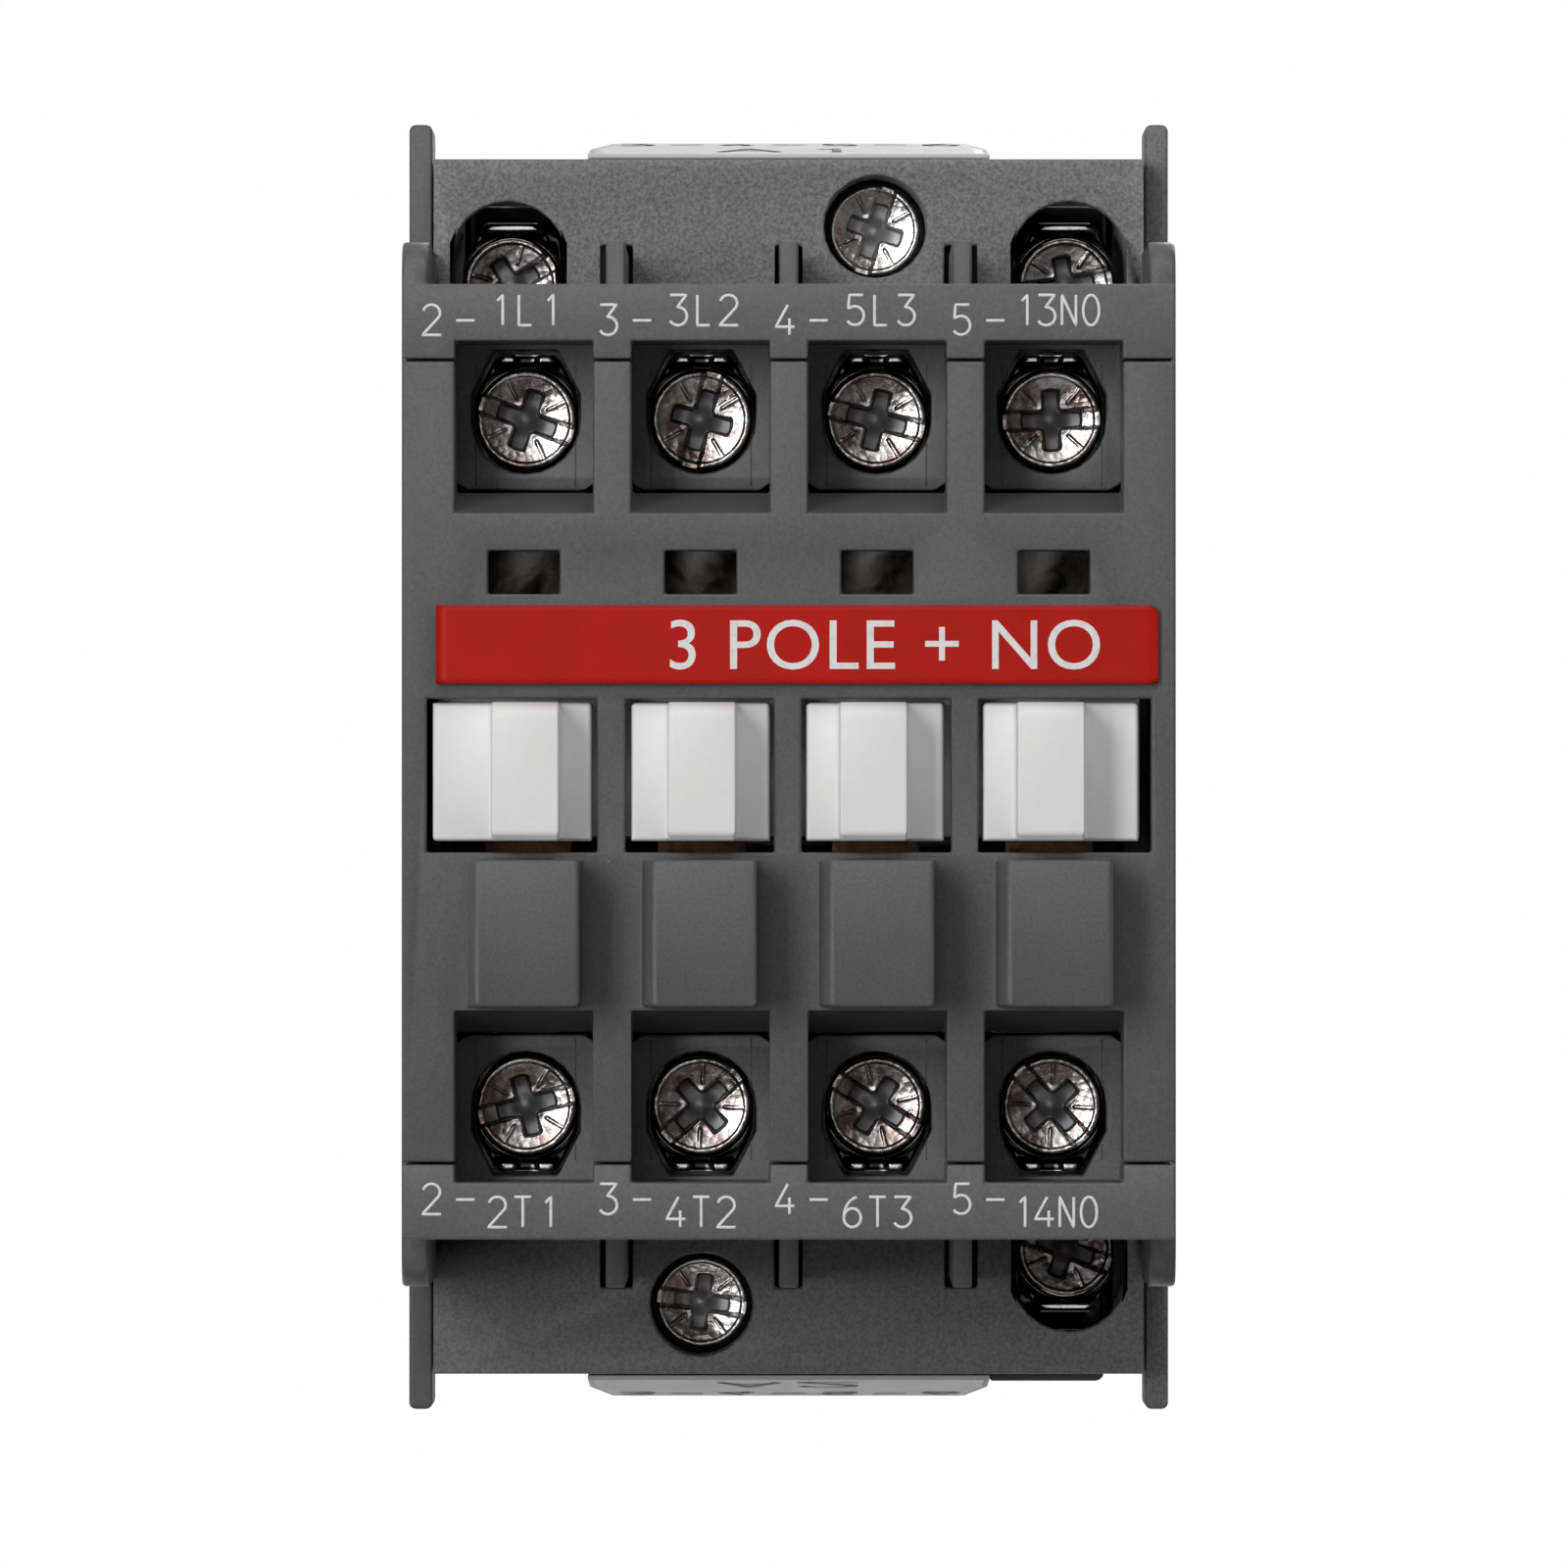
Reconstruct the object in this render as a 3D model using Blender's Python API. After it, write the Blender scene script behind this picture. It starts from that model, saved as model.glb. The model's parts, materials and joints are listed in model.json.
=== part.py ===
"""Four-pole block contactor for a 35 mm top-hat rail, built as sixty separate solids.

X runs to the right, Z up, and the front faces -Y. The origin is the centre of the rail seat.
Sizes are in millimetres and "depth" is the distance forward of the rail seat, so y = -depth.
MM turns them into metres where a mesh is made.
"""
import math

import bmesh
import bpy
from mathutils import Matrix, Vector

MM = 0.001
GAP = 0.3

# Overall sizes
HALF_WIDTH = 22.0
HALF_HEIGHT = 37.25
BODY_HALF_HEIGHT = 35.1
FOOT_DEPTH = -4.0
FRONT_FACE = 65.5

# Poles: four in a row, with a barrier between each two
PITCH = 9.8
POLES = tuple(PITCH * (n - 1.5) for n in range(4))
BARRIERS = tuple(PITCH * (n - 1) for n in range(3))
ENDS = (1, -1)

# Base and the skirt of the contact housing
EAR_INNER = 20.66
EAR_FRONT = 29.0
EAR_REAR = 21.5
BASE_FRONT = 19.7
BASE_HALF_WIDTH = 21.0
LEDGE_X = (11.8, 18.5)
LEDGE_EDGE = -35.95
LEDGE_DEPTH = (6.0, 19.0)
LEDGE_CORNER = 0.5
POST_RADIUS = 3.4
SCREW_BORE = 1.8
CAVITY = (19.0, 33.6)
BASE_FLOOR = 3.0
SKIRT_HALF_WIDTH = EAR_INNER - GAP
DECK_HALF_WIDTH = 20.52
SKIRT_REAR = BASE_FRONT + GAP
DECK_FRONT = 32.0
DECK_REAR = 30.4
DECK_LIP_REAR = EAR_FRONT + GAP
LABEL_GATE = 11.7
LABEL_REACH = 37.2
COIL_MOUTH = (13.1, 19.0)
MOUTH_Z = (33.0, 36.5)

# Rail channel, hook and clip
SEAT_HALF = 15.5
CHANNEL_HALF = 17.9
HOOK_LIP = 16.2
CLIP_HALF_WIDTH = 6.5
CLIP_DEPTH = (-3.2, -1.2)
CLIP_Z = (-36.8, -16.2)
CLIP_WINDOW = (1.6, -29.3, -20.2)
CLIP_PULL = (2.6, -36.2, -35.0)
HOOK_HALF_WIDTH = 12.0
HOOK_DEPTH = (-3.6, -1.4)
GUIDE_HALF_WIDTH = 6.8
GUIDE_DEPTH = (-3.5, -0.9)
GUIDE_BACK = 4.6
GUIDE_Z = (-40.0, -17.0)
SPRING_STOP = (0.9, -29.0, -28.0)

# Contact housing
TIER_HALF_HEIGHT = 29.6
TIER_WALL = (20.4, 21.9)
TIER_FRONT = 49.5
BAND = (22.35, 26.5)
BAND_HALF_WIDTH = 21.45
PARTITION = (38.4, 39.8)
SHELF = 43.1
PLATE_SHELF = (47.0, 48.5)
TOWER_INNER = 15.2
TOWER_FRONT = 59.5
NOTCH_HALF_WIDTH = 3.83
NOTCH_OUTER = 23.34
FIN_HALF_WIDTH = 0.55
SLOT_INNER = 0.8
SLOT_OUTER = 1.1
SLOT_Z = (26.6, 30.1)
ARC_CHAMBER = (18.5, 23.5)
CONTACT_CHAMBER = (18.9, 5.2)
STEM_HOLE = (11.0, 4.6)
POLE_CHAMBER = 4.2
PLATE_SLOT = 3.6

# Terminals
SCREW_Z = 19.2
HOLE_RADIUS = 3.07
HOOD_OUTER = 23.1
HOOD_HALF_FLAT = 1.8
HOOD_SHOULDER = 20.65
HEAD_RADIUS = 2.75
HEAD_HEIGHT = 2.3
SHANK_RADIUS = 1.75
HEAD_FRONT = 58.0
CLAMP_DEPTH = 1.2
WIRE_WINDOW = (49.9, 55.5)
PLATE_FRONT = 50.0
PLATE_THICK = 1.2
PLATE_HALF_WIDTH = 3.3
PLATE_TIP = 24.6
THREAD_CLEARANCE = 2.1
COIL_X = 16.1
COIL_Z = 28.0
COIL_HOLE_RADIUS = 3.35
COIL_HOLE_Z = 29.3
COIL_HEAD_FRONT = 27.2
COIL_PLATE_FRONT = 19.3
COIL_CORNERS = ((-1, 1), (1, 1), (1, -1))

# Housing screws
HOUSING_SCREWS = ((5.0, 31.2), (-5.05, -31.1))
COLUMN_RADIUS = 3.5
COLUMN_REAR = 22.5
COLUMN_SEAT = 24.5

# Magnet
CORE_HALF_HEIGHT = 7.0
CORE_HALF_WIDTH = 18.0
OUTER_LEG = 13.0
CENTRE_LEG = 5.0
YOKE_REAR = 5.0
YOKE_THICK = 4.6
FIXED_POLE = 17.5
MOVING_POLE = 23.3
MOVING_YOKE = (31.0, 35.6)
BOBBIN = (10.0, 25.4)
FLANGE = (12.5, 15.8)
FLANGE_THICK = 1.2
PIN_DEPTH = 33.3
PIN_RADIUS = 1.25

# Carrier, in its released position
CARRIER_HALF_HEIGHT = 4.2
CARRIER_FLANGE = (36.0, 38.0)
REAR_BAR = (45.8, 50.3)
CROSSBAR = (60.5, 63.0)
TAB_Z = (-4.41, 3.27)
TAB_FRONT = 65.0
RIB_FRONT = 69.0
RIB_HALF_WIDTH = 1.86
TABS = ((-19.77, -10.93), (-8.75, -1.05), (0.95, 8.6), (10.75, 19.4))
RIBS = (-14.58, -4.81, 4.67, 14.48)

# Front cover
COVER_HALF_WIDTH = 21.46
COVER_HALF_HEIGHT = 22.05
COVER_REAR = 49.8
COVER_PLATE = 63.5
WINDOW_Z = (-5.04, 3.49)
WINDOWS = ((-20.1, -10.63), (-9.08, -0.82), (0.70, 9.01), (10.51, 20.1))
BLOCK_Z = (-13.6, -5.45)
BLOCK_FRONT = 70.0
BLOCK_HALF_WIDTH = 3.175
SIGHT_HOLE = (1.99, 1.2, 10.5)
STRIP = ((-19.57, 20.5), (4.3, 8.65))
STRIP_CORNERS = (0.25, 0.6)

PLANES = {
    "front": lambda u, v, w: (u, -w, v),
    "side": lambda u, v, w: (w, -v, u),
    "top": lambda u, v, w: (u, -v, w),
}

MATERIALS = {
    "dark_plastic": ((0.050, 0.054, 0.058), 0.55, 0.0),
    "base_plastic": ((0.042, 0.045, 0.048), 0.6, 0.0),
    "white_plastic": ((0.72, 0.72, 0.70), 0.5, 0.0),
    "grey_plastic": ((0.46, 0.47, 0.47), 0.55, 0.0),
    "red_label": ((0.55, 0.06, 0.04), 0.45, 0.0),
    "copper": ((0.72, 0.36, 0.20), 0.35, 1.0),
    "screw_steel": ((0.62, 0.60, 0.56), 0.3, 1.0),
    "clamp_steel": ((0.45, 0.45, 0.45), 0.25, 1.0),
    "spring_steel": ((0.55, 0.55, 0.56), 0.35, 1.0),
    "core_steel": ((0.36, 0.36, 0.37), 0.5, 1.0),
    "coil_tape": ((0.50, 0.30, 0.08), 0.5, 0.0),
    "rubber": ((0.03, 0.03, 0.03), 0.9, 0.0),
}


# Helpers


def clear_scene():
    """Empty the file before anything is made."""
    for item in list(bpy.data.objects):
        bpy.data.objects.remove(item, do_unlink=True)


def make_materials():
    """One Principled material for each entry of MATERIALS."""
    for name, (colour, roughness, metallic) in MATERIALS.items():
        material = bpy.data.materials.new(name)
        material.use_nodes = True
        shader = material.node_tree.nodes["Principled BSDF"]
        shader.inputs["Base Color"].default_value = (*colour, 1.0)
        shader.inputs["Roughness"].default_value = roughness
        shader.inputs["Metallic"].default_value = metallic


def add_mesh(name, bm):
    """Put a bmesh in the scene as an object, with its faces pointing out."""
    bmesh.ops.recalc_face_normals(bm, faces=bm.faces[:])
    mesh = bpy.data.meshes.new(name)
    bm.to_mesh(mesh)
    bm.free()
    item = bpy.data.objects.new(name, mesh)
    bpy.context.scene.collection.objects.link(item)
    return item


def extrude(outline, plane, start, end, name="tool"):
    """Extrude an outline from start to end, at right angles to one of PLANES."""
    place = PLANES[plane]
    bm = bmesh.new()
    rings = []
    for w in (start, end):
        rings.append([bm.verts.new(Vector(place(u, v, w)) * MM) for u, v in outline])
    bm.faces.new(rings[0])
    bm.faces.new(rings[1])
    count = len(outline)
    for n in range(count):
        m = (n + 1) % count
        bm.faces.new((rings[0][n], rings[0][m], rings[1][m], rings[1][n]))
    return add_mesh(name, bm)


def box(x, depth, z, name="tool"):
    """A box between three pairs of limits."""
    outline = ((x[0], z[0]), (x[1], z[0]), (x[1], z[1]), (x[0], z[1]))
    return extrude(outline, "front", depth[0], depth[1], name)


def ends_box(x, depth, z, end):
    """A box whose z limits are mirrored to the upper (1) or lower (-1) end."""
    return box(x, depth, sorted((end * z[0], end * z[1])))


def arc(centre, radius, start, stop, steps):
    """Points along a circular arc, its angles in degrees."""
    points = []
    for n in range(steps + 1):
        angle = math.radians(start + (stop - start) * n / steps)
        points.append((centre[0] + radius * math.cos(angle), centre[1] + radius * math.sin(angle)))
    return points


def cylinder(x, z, radius, depth, steps=24, name="tool"):
    """A round bar along the depth."""
    outline = arc((x, z), radius, 0, 360, steps)[:-1]
    return extrude(outline, "front", depth[0], depth[1], name)


def turned(name, profile, steps):
    """A solid turned about the depth axis from (radius, depth) points, closed by flat ends."""
    bm = bmesh.new()
    rings = []
    for radius, depth in profile:
        circle = arc((0, 0), radius, 0, 360, steps)[:-1]
        rings.append([bm.verts.new(Vector((x, -depth, z)) * MM) for x, z in circle])
    for low, high in zip(rings, rings[1:]):
        for n in range(steps):
            m = (n + 1) % steps
            bm.faces.new((low[n], low[m], high[m], high[n]))
    bm.faces.new(rings[0])
    bm.faces.new(rings[-1])
    return add_mesh(name, bm)


def coil_spring(name, start, end, outer, wire, turns, steps=8, sides=4):
    """A round wire along a helix that runs from one point to another."""
    start, end = Vector(start), Vector(end)
    along = (end - start).normalized()
    across = along.orthogonal().normalized()
    other = along.cross(across)
    radius = (outer - wire) / 2
    length = (end - start).length - wire
    count = round(turns * steps)
    bm = bmesh.new()
    rings = []
    for n in range(count + 1):
        angle = 2 * math.pi * n / steps
        out = across * math.cos(angle) + other * math.sin(angle)
        centre = start + along * (wire / 2 + length * n / count) + out * radius
        ring = []
        for k in range(sides):
            tilt = 2 * math.pi * k / sides
            point = centre + (out * math.cos(tilt) + along * math.sin(tilt)) * wire / 2
            ring.append(bm.verts.new(point * MM))
        rings.append(ring)
    for low, high in zip(rings, rings[1:]):
        for k in range(sides):
            m = (k + 1) % sides
            bm.faces.new((low[k], low[m], high[m], high[k]))
    bm.faces.new(rings[0])
    bm.faces.new(rings[-1])
    return add_mesh(name, bm)


def hide(item):
    """Mark an object as a shaping tool, which is not a piece of the contactor."""
    item.hide_render = True
    item.display_type = "WIRE"


def finish(item, name, material):
    """Name a node, give it its material and shade its round faces smooth."""
    item.name = name
    item.data.name = name
    item.data.materials.append(bpy.data.materials[material])
    item.data.shade_smooth()
    item.data.set_sharp_from_angle(angle=math.radians(35))
    return item


def shape(name, material, body, *stages):
    """One node: a body, then a Boolean with all the tools of each stage in turn."""
    for number, (operation, tools) in enumerate(stages):
        group = bpy.data.collections.new(f"{name}_tools_{number}")
        bpy.context.scene.collection.children.link(group)
        for tool in tools:
            hide(tool)
            bpy.context.scene.collection.objects.unlink(tool)
            group.objects.link(tool)
        modifier = body.modifiers.new(f"{operation.lower()}_{number}", "BOOLEAN")
        modifier.operation = operation
        modifier.solver = "EXACT"
        modifier.operand_type = "COLLECTION"
        modifier.collection = group
    return finish(body, name, material)


def rounded_plate(half, top, bottom, radius, steps=4):
    """A (z, depth) outline from -half to half, rounded at its two front corners."""
    right = arc((half - radius, top - radius), radius, 0, 90, steps)
    left = arc((radius - half, top - radius), radius, 90, 180, steps)
    return [(half, bottom), *right, *left, (-half, bottom)]


def hood_outline(x, z, end, clear, steps=12):
    """The hole over a terminal: round inwards, with a chamfered flat end outwards."""
    radius = HOLE_RADIUS - clear
    outer = HOOD_OUTER - SCREW_Z - clear
    flat = HOOD_HALF_FLAT - clear / 2
    shoulder = HOOD_SHOULDER - SCREW_Z
    points = [(radius, shoulder), (flat, outer), (-flat, outer), (-radius, shoulder)]
    points += arc((0, 0), radius, 180, 360, steps)
    return [(x + u, z + end * v) for u, v in points]


# Casings


def make_base_housing():
    """The rear tub with the rail channel, the side plates that stand past it, and the feet."""
    height = (-BODY_HALF_HEIGHT, BODY_HALF_HEIGHT)
    body = box((-BASE_HALF_WIDTH, BASE_HALF_WIDTH), (0.0, BASE_FRONT), height)
    adds = []
    for side in ENDS:
        ear = sorted((side * EAR_INNER, side * HALF_WIDTH))
        adds.append(box(ear, (0.0, EAR_FRONT), (-HALF_HEIGHT, HALF_HEIGHT)))
    for end in ENDS:
        foot = (CHANNEL_HALF, BODY_HALF_HEIGHT)
        adds.append(ends_box((-HALF_WIDTH, HALF_WIDTH), (FOOT_DEPTH, 0.5), foot, end))
    adds.append(box((-HOOK_HALF_WIDTH, HOOK_HALF_WIDTH), HOOK_DEPTH, (HOOK_LIP, CHANNEL_HALF + 0.5)))
    left, right = LEDGE_X
    top = 0.2 - BODY_HALF_HEIGHT
    corner = (right - LEDGE_CORNER, LEDGE_EDGE + LEDGE_CORNER)
    ledge = [(left, top), (right, top), *arc(corner, LEDGE_CORNER, 360, 270, 3), (left, LEDGE_EDGE)]
    adds.append(extrude(ledge, "front", *LEDGE_DEPTH))

    hollow_x, hollow_z = CAVITY
    cuts = [box((-hollow_x, hollow_x), (BASE_FLOOR, 21.0), (-hollow_z, hollow_z))]
    for end in ENDS:
        cuts.append(ends_box((-23.0, 23.0), (-1.2, 0.4), (SEAT_HALF, CHANNEL_HALF), end))
        for side in ENDS:
            ear = sorted((side * (EAR_INNER - 0.4), side * 23.0))
            cuts.append(ends_box(ear, (-0.5, EAR_REAR), (BODY_HALF_HEIGHT, 38.0), end))
    cuts.append(box((-GUIDE_HALF_WIDTH, GUIDE_HALF_WIDTH), GUIDE_DEPTH, GUIDE_Z))
    cuts.append(box((-GUIDE_BACK, GUIDE_BACK), (FOOT_DEPTH - 0.5, GUIDE_DEPTH[0] + 0.1), GUIDE_Z))
    for side, end in COIL_CORNERS:
        wire = sorted((side * COIL_MOUTH[0], side * COIL_MOUTH[1]))
        cuts.append(ends_box(wire, (19.0, 21.0), MOUTH_Z, end))

    posts = [cylinder(x, z, POST_RADIUS, (2.5, COLUMN_REAR - GAP)) for x, z in HOUSING_SCREWS]
    stop, low, high = SPRING_STOP
    posts.append(box((-stop, stop), (-3.0, -0.5), (low, high)))
    for end in ENDS:
        posts.append(ends_box((-16.0, 16.0), (2.5, 8.0), (7.3, 8.6), end))
    holes = [cylinder(x, z, SCREW_BORE, (8.0, 23.0), 16) for x, z in HOUSING_SCREWS]
    shape(
        "base_housing", "base_plastic", body,
        ("UNION", adds), ("DIFFERENCE", cuts), ("UNION", posts), ("DIFFERENCE", holes),
    )


def contact_housing_hollows():
    """Everything that is cut out of the contact housing, except for its screw columns."""
    hollow_x, hollow_z = CAVITY
    arc_x, arc_z = ARC_CHAMBER
    stem_x, stem_z = STEM_HOLE
    contact_x, contact_z = CONTACT_CHAMBER
    cuts = [
        box((-hollow_x, hollow_x), (19.0, DECK_REAR), (-hollow_z, hollow_z)),
        box((-arc_x, arc_x), (30.0, PARTITION[0]), (-arc_z, arc_z)),
        box((-stem_x, stem_x), (38.0, 40.2), (-stem_z, stem_z)),
        box((-contact_x, contact_x), (PARTITION[1], 51.0), (-contact_z, contact_z)),
    ]
    for end in ENDS:
        cuts.append(ends_box((-LABEL_GATE, LABEL_GATE), (19.0, 25.6), MOUTH_Z, end))
        for barrier in BARRIERS:
            left = SLOT_OUTER if barrier < 0 else SLOT_INNER
            right = SLOT_OUTER if barrier > 0 else SLOT_INNER
            slot = (barrier - left, barrier + right)
            cuts.append(ends_box(slot, (30.0, DECK_FRONT + 0.2), SLOT_Z, end))
        for pole in POLES:
            cuts += terminal_hollows(pole, end)
    for side, end in COIL_CORNERS:
        x = side * (COIL_X + 0.1)
        top = [(x + u, end * (COIL_HOLE_Z + v)) for u, v in arc((0, 0), COIL_HOLE_RADIUS, 0, 180, 12)]
        foot = [(x - COIL_HOLE_RADIUS, end * 24.6), (x + COIL_HOLE_RADIUS, end * 24.6)]
        cuts.append(extrude(top + foot, "front", 19.0, DECK_FRONT + 0.05))
        wire = sorted((side * COIL_MOUTH[0], side * COIL_MOUTH[1]))
        cuts.append(ends_box(wire, (19.0, 25.3), MOUTH_Z, end))
    return cuts


def terminal_hollows(pole, end):
    """The chamber, plate slot, screw well, wire window and notch of one main terminal."""
    z = end * SCREW_Z
    well = hood_outline(pole, z, end, 0.0)
    notch = (pole - NOTCH_HALF_WIDTH, pole + NOTCH_HALF_WIDTH)
    corners = []
    for side in ENDS:
        low, high = end * (TOWER_INNER - 0.1), end * (TOWER_INNER + 0.45)
        inner, outer = pole + side * 3.1, pole + side * 3.95
        corners.append(extrude([(inner, low), (outer, low), (outer, high)], "front", 57.0, 60.5))
    return corners + [
        ends_box((pole - POLE_CHAMBER, pole + POLE_CHAMBER), (SHELF, 51.0), (5.0, TOWER_INNER), end),
        ends_box((pole - 3.4, pole + 3.4), (30.0, PLATE_SHELF[0]), (16.5, 23.6), end),
        cylinder(pole, z, THREAD_CLEARANCE, (46.0, 49.0), 16),
        ends_box((pole - PLATE_SLOT, pole + PLATE_SLOT), (PLATE_SHELF[1], 50.3), (12.0, 24.9), end),
        extrude(well, "front", 50.0, 60.5),
        ends_box((pole - 3.0, pole + 3.0), WIRE_WINDOW, (21.5, 27.5), end),
        ends_box(notch, (TOWER_FRONT, 66.5), (21.0, NOTCH_OUTER), end),
    ]


def make_contact_housing():
    """The middle casing: skirt and deck, the tier with its fins, the towers and the two bands."""
    height = (-BODY_HALF_HEIGHT, BODY_HALF_HEIGHT)
    body = box((-SKIRT_HALF_WIDTH, SKIRT_HALF_WIDTH), (SKIRT_REAR, DECK_FRONT), height)
    adds = [
        box((-BASE_HALF_WIDTH, BASE_HALF_WIDTH), (31.0, TIER_FRONT), (-BAND[1], BAND[1])),
        box((-DECK_HALF_WIDTH, DECK_HALF_WIDTH), (DECK_LIP_REAR, DECK_FRONT), height),
    ]
    wall = rounded_plate(TIER_HALF_HEIGHT, TIER_FRONT, DECK_LIP_REAR, 2.0)
    for side in ENDS:
        adds.append(extrude(wall, "side", side * TIER_WALL[0], side * TIER_WALL[1]))
        joint = sorted((side * 19.0, side * 20.8))
        adds.append(box(joint, (DECK_LIP_REAR, 32.5), (-26.0, 26.0)))
    for end in ENDS:
        tower = (TOWER_INNER, 24.0)
        adds.append(ends_box((-19.9, 19.9), (49.0, TOWER_FRONT), tower, end))
        adds.append(ends_box((-BAND_HALF_WIDTH, BAND_HALF_WIDTH), (49.0, FRONT_FACE), BAND, end))
        for barrier in BARRIERS:
            fin = (barrier - FIN_HALF_WIDTH, barrier + FIN_HALF_WIDTH)
            adds.append(ends_box(fin, (31.5, 50.0), (26.0, TIER_HALF_HEIGHT), end))
    columns = [cylinder(x, z, COLUMN_RADIUS, (COLUMN_REAR, 31.0)) for x, z in HOUSING_SCREWS]
    wells = [cylinder(x, z, 2.97, (COLUMN_SEAT, 33.0)) for x, z in HOUSING_SCREWS]
    holes = [cylinder(x, z, SCREW_BORE, (22.0, 25.0), 16) for x, z in HOUSING_SCREWS]
    shape(
        "contact_housing", "dark_plastic", body,
        ("UNION", adds), ("DIFFERENCE", contact_housing_hollows()),
        ("UNION", columns), ("DIFFERENCE", wells), ("DIFFERENCE", holes),
    )


def make_front_cover():
    """The front shell between the bands, with the tab windows, sight holes and raised blocks."""
    height = (-COVER_HALF_HEIGHT, COVER_HALF_HEIGHT)
    body = box((-COVER_HALF_WIDTH, COVER_HALF_WIDTH), (COVER_PLATE, FRONT_FACE), height)
    adds = []
    for side in ENDS:
        skirt = sorted((side * 20.26, side * COVER_HALF_WIDTH))
        adds.append(box(skirt, (COVER_REAR, 64.0), height))
    for end in ENDS:
        depth = (TOWER_FRONT + GAP, 64.0)
        adds.append(ends_box((-20.6, 20.6), depth, (12.6, COVER_HALF_HEIGHT), end))
        for barrier in BARRIERS:
            wall = (barrier - 0.6, barrier + 0.6)
            adds.append(ends_box(wall, (COVER_REAR + GAP, 64.0), (5.4, 13.0), end))
    for pole in POLES:
        left, right = pole - BLOCK_HALF_WIDTH, pole + BLOCK_HALF_WIDTH
        outline = (
            (left, 65.0), (right, 65.0), (right, BLOCK_FRONT),
            (left + 0.6, BLOCK_FRONT), (left, BLOCK_FRONT - 0.6),
        )
        adds.append(extrude(outline, "top", *BLOCK_Z))

    cuts = []
    half, half_height, middle = SIGHT_HOLE
    for pole in POLES:
        sight = (middle - half_height, middle + half_height)
        cuts.append(box((pole - half, pole + half), (62.0, 67.0), sight))
        for end in ENDS:
            slope = [(13.8, 67.0), (13.8, FRONT_FACE), (15.1, 59.7), (15.1, 59.0)]
            slope += [(24.0, 59.0), (24.0, 67.0)]
            outline = [(end * z, depth) for z, depth in slope]
            cuts.append(extrude(outline, "side", pole - NOTCH_HALF_WIDTH, pole + NOTCH_HALF_WIDTH))
    for window in WINDOWS:
        cuts.append(box(window, (62.0, 67.0), WINDOW_Z))
    shape("front_cover", "dark_plastic", body, ("UNION", adds), ("DIFFERENCE", cuts))


def make_label_strip():
    """The red marking strip across the cover, with a rounded right end."""
    (left, right), (low, high) = STRIP
    small, large = STRIP_CORNERS
    outline = [(left, low), *arc((right - small, low + small), small, -90, 0, 4)]
    outline += [*arc((right - large, high - large), large, 0, 90, 5), (left, high)]
    item = extrude(outline, "front", FRONT_FACE + 0.1, FRONT_FACE + 0.5)
    finish(item, "label_strip", "red_label")


# Moving contacts


def make_contact_carrier():
    """The sliding cage: magnet flange, stem, two crossbars, webs and the white front tabs."""
    half = CARRIER_HALF_HEIGHT
    body = box((-18.6, 18.6), REAR_BAR, (-half, half))
    adds = [
        box((-10.0, 10.0), CARRIER_FLANGE, (-9.0, 9.0)),
        box((-4.0, 4.0), CARRIER_FLANGE, (-15.6, 15.6)),
        box((-10.6, 10.6), (37.8, 46.0), (-half, half)),
        box((-19.5, 19.5), CROSSBAR, (-half, half)),
    ]
    for end in ENDS:
        adds.append(ends_box((-4.0, 4.0), (31.3, 36.5), (7.3, 9.0), end))
        web = sorted((end * 17.7, end * 18.6))
        adds.append(box(web, (50.0, 61.0), (-half, half)))
    for barrier in BARRIERS:
        adds.append(box((barrier - 0.8, barrier + 0.8), (50.0, 61.0), (-half, half)))
    for pole in POLES:
        adds.append(cylinder(pole, 0.0, 1.2, (58.9, 60.8), 8))
    for tab, rib in zip(TABS, RIBS):
        adds.append(box(tab, (62.5, TAB_FRONT), TAB_Z))
        side = [(TAB_Z[0], 64.5), (TAB_Z[0], RIB_FRONT - 0.4), (TAB_Z[0] + 0.4, RIB_FRONT)]
        side += [*arc((TAB_Z[1] - 1.0, RIB_FRONT - 1.0), 1.0, 90, 0, 4), (TAB_Z[1], 64.5)]
        adds.append(extrude(side, "side", rib - RIB_HALF_WIDTH, rib + RIB_HALF_WIDTH))
    hole = extrude(arc((0, PIN_DEPTH), PIN_RADIUS + 0.25, 0, 360, 12)[:-1], "top", -10.0, 10.0)
    shape("contact_carrier", "white_plastic", body, ("UNION", adds), ("DIFFERENCE", [hole]))


def make_bridges():
    """Each pole's copper bridge with two raised contact tips, and the spring in front of it."""
    rear, front = REAR_BAR[1] + GAP, 52.0
    tip = rear - 1.0
    profile = [(-9.4, rear), (-9.0, rear), (-9.0, tip), (-6.4, tip), (-6.4, rear)]
    profile += [(-z, depth) for z, depth in reversed(profile)]
    profile += [(9.4, front), (-9.4, front)]
    for number, pole in enumerate(POLES, 1):
        bridge = extrude(profile, "side", pole - 2.5, pole + 2.5)
        finish(bridge, f"contact_bridge_{number}", "copper")
        name = f"contact_spring_{number}"
        start, end = (pole, -(front + GAP), 0), (pole, GAP - CROSSBAR[0], 0)
        finish(coil_spring(name, start, end, 4.4, 0.5, 4.0), name, "spring_steel")


# Terminals


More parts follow.
